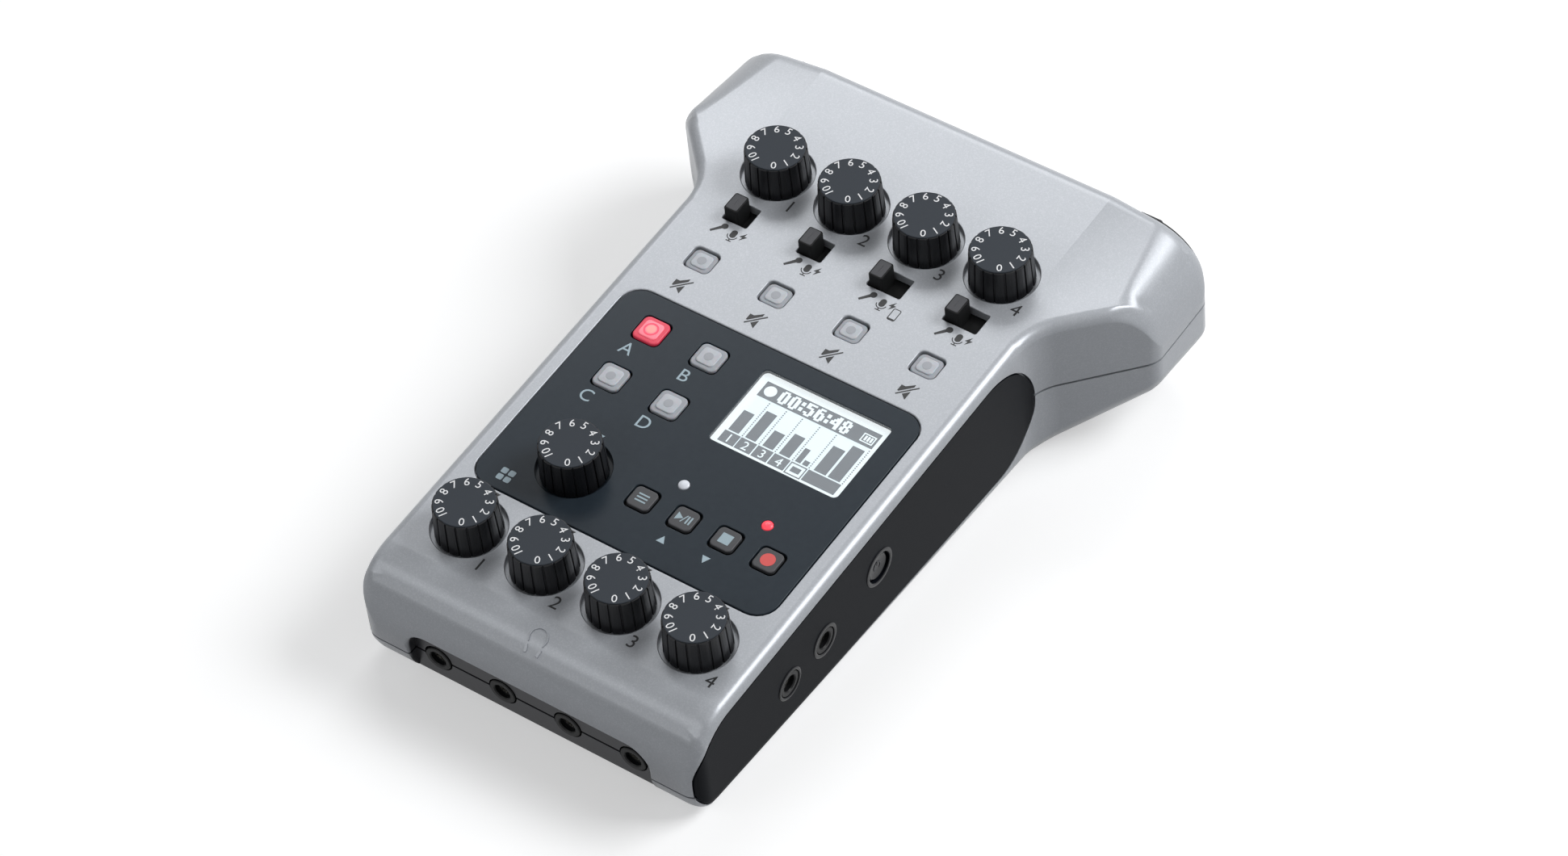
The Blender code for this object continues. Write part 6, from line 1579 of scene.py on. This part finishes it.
# Profiles of a microphone socket, as (radius, height above the flange's rim)
XLR_SHELL = ((9.8, -0.4), (9.8, -13.0), (9.8, -22.2))
XLR_RIM = ((12.15, -0.85), (11.9, -0.35), (11.5, -0.1), (10.1, -0.1))
XLR_FLANGE_BACK, XLR_BODY_RADIUS, XLR_LENGTH = -2.4, 11.2, 22.2
XLR_BLOCK = ((9.9, -22.2), (9.9, -13.0), (7.7, -13.0), (7.7, -1.1), (7.5, -0.85), (7.2, -0.8))
XLR_PIN_HOLE = ((1.3, -10.0), (1.3, -1.0), (1.5, 1.0))
XLR_SLEEVE = ((0.85, -9.8), (1.22, -9.8), (1.22, -1.3), (0.9, -1.3))


def above_rim(profile):
    return [(r, XLR_PROUD + z) for r, z in profile]


def microphone_sockets():
    """Three-pole sockets: flanged shell, round key block and plated contacts."""
    body = [(XLR_BODY_RADIUS, XLR_PROUD - XLR_LENGTH), (XLR_BODY_RADIUS, XLR_FLANGE_BACK),
            (XLR_RIM[0][0], XLR_FLANGE_BACK)]
    shell = collar(body + above_rim(XLR_RIM + XLR_SHELL), 96)
    turns = [math.radians(90 + 90 * k) for k in range(3)]
    pins = [(XLR_PIN_CIRCLE * math.cos(a), XLR_PIN_CIRCLE * math.sin(a)) for a in turns]
    block = combined(turned(above_rim(XLR_BLOCK), 72),
                     [moved(turned(above_rim(XLR_PIN_HOLE), 32), x, y) for x, y in pins])
    sleeves = gathered([moved(collar(above_rim(XLR_SLEEVE), 32), x, y) for x, y in pins])
    latch = cushion(*XLR_LATCH_SIZE, XLR_LATCH_CORNER, XLR_PROUD - XLR_LATCH_HEIGHT, XLR_PROUD,
                    XLR_LATCH_EDGE)
    latch = moved(latch, 0.0, XLR_LATCH_Y)
    for i, x in enumerate(XLR_XS):
        parts = (("shell", shell, SOCKET), ("insert", block, BLACK_MATT_AND_GAP_SHADE), ("contacts", sleeves, BRIGHT),
                 ("latch", latch, CAP_GREY))
        show_parts(f"xlr_input_{i + 1}", parts, along_y(x, XLR_DEPTH, BACK_REACH, 1))


POWER_PROFILE = ((1.4, -4.0), (1.4, -3.0), (3.1, -3.0), (3.1, -0.75), (2.95, -0.4), (2.7, -0.3), (2.3, -0.42),
                 (1.2, -0.5), (0.2, -0.5))
POWER_SIGN_Z, POWER_SIGN_LINE, POWER_SIGN_SCALE = -0.5, 0.26, 3


def power_button():
    """Dished round button with a raised on and off sign."""
    ring = stroke(arc(0, 0, 1.05, -55, 235, 24), POWER_SIGN_LINE)
    mark = stroke([(0, 0.35), (0, 1.45)], POWER_SIGN_LINE)
    upright = Matrix.Rotation(math.pi / 2, 4, "Z") @ Matrix.Scale(POWER_SIGN_SCALE, 4, (0, 0, 1))
    sign = moved(placed(gathered([ring, mark]), upright), 0, 0, POWER_SIGN_Z)
    parts = (("cap", turned(POWER_PROFILE, 56), BLACK_GLOSS), ("sign", sign, CAP_GREY))
    show_parts("power_button", parts, in_side(POWER_Y, POWER_DEPTH), body="power_button")


def ports():
    """Two flat oval ports with their tongues; the card socket stays as it is."""
    shell = prism(port_outline(USB_WIDTH, USB_HEIGHT, 0.0), -USB_LENGTH, 0.0)
    mouth = rounded_rectangle(USB_HEIGHT - 2 * USB_WALL, USB_WIDTH - 2 * USB_WALL, USB_MOUTH_CORNER)
    shell = combined(shell, [prism(mouth, -USB_CAVITY, OVERRUN)])
    tongue = stepped(USB_TONGUE)
    for name, y in zip(("usb_power_port", "usb_data_port"), USB_Y):
        show_parts(name, (("shell", shell, BRIGHT), ("tongue", tongue, BLACK_MATT_AND_GAP_SHADE)), in_side(y, USB_DEPTH, -1))


# Underside

COVER_LEVELS = ((-0.25, 0.0), (-0.07, 0.07), (0.0, 0.25), (0.0, COVER_THICKNESS))
COVER_RIB = ((11.0, 0.8, 0.3, 0.1), (11.0, 0.8, 0.3, -0.22), (10.7, 0.5, 0.2, -0.3))
FOOT_PROFILE = ((3.6, -FOOT_PROUD), (3.85, -0.72), (FOOT_RADIUS, -0.5),
                (FOOT_RADIUS, FOOT_THICKNESS - FOOT_PROUD))
SCREW_PROFILE = ((0.2, -1.4), (0.9, -1.35), (1.9, -1.15), (2.5, -0.6), (2.6, 0.0), (2.3, 0.6), (1.0, 0.6))
CROSS_REACH, CROSS_HALF_WIDTH, CROSS_LOW, CROSS_TOP = 1.5, 0.28, -1.6, -0.75


def foot_places():
    return [(side * FOOT_X, y) for y in (FOOT_FRONT_Y, FOOT_BACK_Y) for side in (-1, 1)]


def battery_door():
    half_x, half_y = bay_half()
    ribs = repeated(stepped(COVER_RIB, 3), ROW_TREE, COVER_RIBS, SILVER, step=(0.0, -COVER_RIB_PITCH, 0.0))
    lip_x, lip_y = half_x / 3, BAY_Y + half_y - SEAT_GAP
    lip = box((-lip_x, lip_y - COVER_LIP_THICKNESS, COVER_LIP_LOW), (lip_x, lip_y, COVER_LIP_TOP))
    door = gathered([levelled(cover_outline, COVER_LEVELS), lip])
    show(door, "battery_door", SILVER, "battery_cover", BASE, stands_for=("battery_cover",))
    show(moved(ribs, 0, BAY_Y + half_y - COVER_RIB_INSET), "battery_door_ribs", SILVER, "battery_cover", BASE)


def underside():
    battery_door()
    foot = turned(FOOT_PROFILE, 48)
    names = ("front_left_foot", "front_right_foot", "back_left_foot", "back_right_foot")
    for name, (x, y) in zip(names, foot_places()):
        show_parts(name, [("pad", foot, FOOT)], spot(x, y), place=BASE)
    cross = [box((-x, -y, CROSS_LOW), (x, y, CROSS_TOP))
             for x, y in ((CROSS_REACH, CROSS_HALF_WIDTH), (CROSS_HALF_WIDTH, CROSS_REACH))]
    head = combined(turned(SCREW_PROFILE, 40), cross)
    show(gathered([moved(head, x, y, -SCREW_SEAT_DEPTH) for x, y in SCREWS]), "casing_screws", BRIGHT)


CELL_HALF = BATTERY_LENGTH / 2
CELL_SLEEVE = ((6.4, -CELL_HALF + 0.1), (6.9, -CELL_HALF + 0.15), (BATTERY_RADIUS, -CELL_HALF + 0.5),
               (BATTERY_RADIUS, CELL_HALF - 1.9), (6.9, CELL_HALF - 1.4), (6.2, CELL_HALF - 1.2))
CELL_FLAT_END = ((6.2, -CELL_HALF), (6.45, -CELL_HALF + 0.12), (6.45, -CELL_HALF + 0.3))
CELL_CAP_END = ((6.1, CELL_HALF - 1.5), (6.0, CELL_HALF - 1.1), (2.8, CELL_HALF - 1.0),
                (2.7, CELL_HALF - 0.2), (2.4, CELL_HALF))


def batteries():
    """Two cells: dark printed sleeve with bright ends."""
    height = COVER_THICKNESS + SEAT_GAP + BATTERY_RADIUS
    ends = gathered([turned(profile, 48) for profile in (CELL_FLAT_END, CELL_CAP_END)])
    parts = (("sleeve", turned(CELL_SLEEVE), SLEEVE), ("ends", ends, BRIGHT))
    for i, side in enumerate((1, -1)):
        lying = Matrix.Rotation(side * math.pi / 2, 4, "Y")
        place = BASE @ spot(0.0, BAY_Y + (i - 0.5) * BAY_PITCH, height) @ lying
        show_parts(f"battery_{i + 1}", parts, Matrix(), place=place)


def dress_cad_nodes():
    """Finishes for the CAD solids that stay in sight."""
    dressed = {"input_board": BOARD, "main_board": BOARD, "headphone_board": BOARD, "card_socket": BRIGHT,
               "battery_bridge_contact": BRIGHT, "battery_terminal_strip": BRIGHT}
    for name, (made, _) in dressed.items():
        for slot in frame["nodes"][name].material_slots:
            slot.material = made


# Room, lights and camera

CAMERA_AZIMUTH = math.radians(39.158)
CAMERA_ELEVATION = math.radians(50.329)
CAMERA_ROLL = math.radians(-6.540)
CAMERA_DISTANCE = 1003.3
CAMERA_AIM = (11.472, 0.018, 0.0)
CAMERA_FOCAL_PIXELS = 6517.9
CAMERA_CLIP = (0.05, 20.0)
IMAGE_WIDTH = 1942
SENSOR_WIDTH = 36.0
SKY_ON_OBJECT, SKY_TO_EYE = 0.20, 0.98
FLOOR_HALF, FLOOR_GLOW = 3.0, 0.45
LAMP_AIM = (0, 0, 0.02)
# Place and size in metres, and power in watts
SOFTBOXES = {"key_softbox": ((0.72, 0.60, 0.90), (0.7, 0.6), 13.0),
             "back_softbox": ((-0.50, 0.78, 0.95), (0.8, 0.35), 4.2),
             "front_softbox": ((-0.35, -0.95, 0.80), (0.9, 0.3), 1.7)}


def camera():
    """The photograph's view, fitted in the deck frame."""
    a, e, r = CAMERA_AZIMUTH, CAMERA_ELEVATION, CAMERA_ROLL
    back = Vector((math.sin(a) * math.cos(e), -math.cos(a) * math.cos(e), math.sin(e)))
    right = Vector((math.cos(a), math.sin(a), 0.0))
    up = back.cross(right)
    turned_right = right * math.cos(r) + up * math.sin(r)
    turned_up = up * math.cos(r) - right * math.sin(r)
    lens = bpy.data.cameras.new("camera")
    lens.sensor_width = SENSOR_WIDTH
    lens.lens = CAMERA_FOCAL_PIXELS / IMAGE_WIDTH * SENSOR_WIDTH
    lens.clip_start, lens.clip_end = CAMERA_CLIP
    obj = linked("camera", lens)
    turn = Matrix((turned_right, turned_up, back)).transposed().to_4x4()
    place = DECK @ (Vector(CAMERA_AIM) + back * CAMERA_DISTANCE)
    obj.matrix_world = Matrix.Translation(place) @ DECK_TURN.to_3x3().to_4x4() @ turn
    bpy.context.scene.camera = obj


def seen_by_eye(tree):
    """1 for rays that carry the background to the eye, 0 for light on the object."""
    path = add(tree, "ShaderNodeLightPath")
    two = add(tree, "ShaderNodeMath", {0: path.outputs["Is Camera Ray"], 1: path.outputs["Is Glossy Ray"]},
              operation="MAXIMUM")
    three = add(tree, "ShaderNodeMath", {0: two.outputs[0], 1: path.outputs["Is Transmission Ray"]},
                operation="MAXIMUM")
    return three.outputs[0]


def room():
    """White surroundings for the eye and a gentle sky for light."""
    world = bpy.data.worlds.new("room")
    bpy.context.scene.world = world
    tree = bare_tree(world)
    strength = add(tree, "ShaderNodeMapRange", {"Value": seen_by_eye(tree), "To Min": SKY_ON_OBJECT,
                                                "To Max": SKY_TO_EYE})
    sky = add(tree, "ShaderNodeBackground", {"Color": linear("#ffffff"),
                                             "Strength": strength.outputs["Result"]})
    add(tree, "ShaderNodeOutputWorld", {"Surface": sky.outputs["Background"]})


def floor():
    """A floor that is pale to the eye, gives the object little light and is clear from below."""
    half = FLOOR_HALF
    corners = [(-half, -half, 0), (half, -half, 0), (half, half, 0), (-half, half, 0)]
    ground = linked("floor", closed_mesh(corners, [[0, 1, 2, 3]]))
    made = bpy.data.materials.new("pale_floor")
    tree = bare_tree(made)
    seen = seen_by_eye(tree)
    glow = add(tree, "ShaderNodeMath", {0: seen, 1: FLOOR_GLOW}, operation="MULTIPLY")
    shade = add(tree, "ShaderNodeMix", {0: seen, 6: linear("#5a5c60"), 7: linear("#d8d9da")},
                data_type="RGBA")
    paint = add(tree, "ShaderNodeBsdfDiffuse", {"Color": shade.outputs[2]})
    light = add(tree, "ShaderNodeEmission", {"Color": linear("#ffffff"), "Strength": glow.outputs[0]})
    both = add(tree, "ShaderNodeAddShader", {0: paint.outputs[0], 1: light.outputs[0]})
    below = add(tree, "ShaderNodeNewGeometry").outputs["Backfacing"]
    clear = add(tree, "ShaderNodeBsdfTransparent").outputs[0]
    one_sided = add(tree, "ShaderNodeMixShader", {0: below, 1: both.outputs[0], 2: clear})
    add(tree, "ShaderNodeOutputMaterial", {"Surface": one_sided.outputs[0]})
    ground.data.materials.append(made)


def lights():
    """Large soft area lamps that point at the object."""
    for name, (place, size, power) in SOFTBOXES.items():
        lamp = bpy.data.lights.new(name, "AREA")
        lamp.shape = "RECTANGLE"
        lamp.size, lamp.size_y = size
        lamp.energy = power
        obj = linked(name, lamp)
        obj.location = place
        obj.rotation_euler = (Vector(LAMP_AIM) - Vector(place)).to_track_quat("-Z", "Y").to_euler()


def main():
    for make in (camera, room, floor, lights, casing_pieces, control_panel, display, knobs, selector_caps,
                 rubber_keys, transport_keys, lamps, deck_print, raised_signs, panel_print, power_button,
                 jacks, microphone_sockets, ports, underside, batteries, dress_cad_nodes):
        make()
    bpy.context.scene.view_settings.view_transform = "Standard"


main()
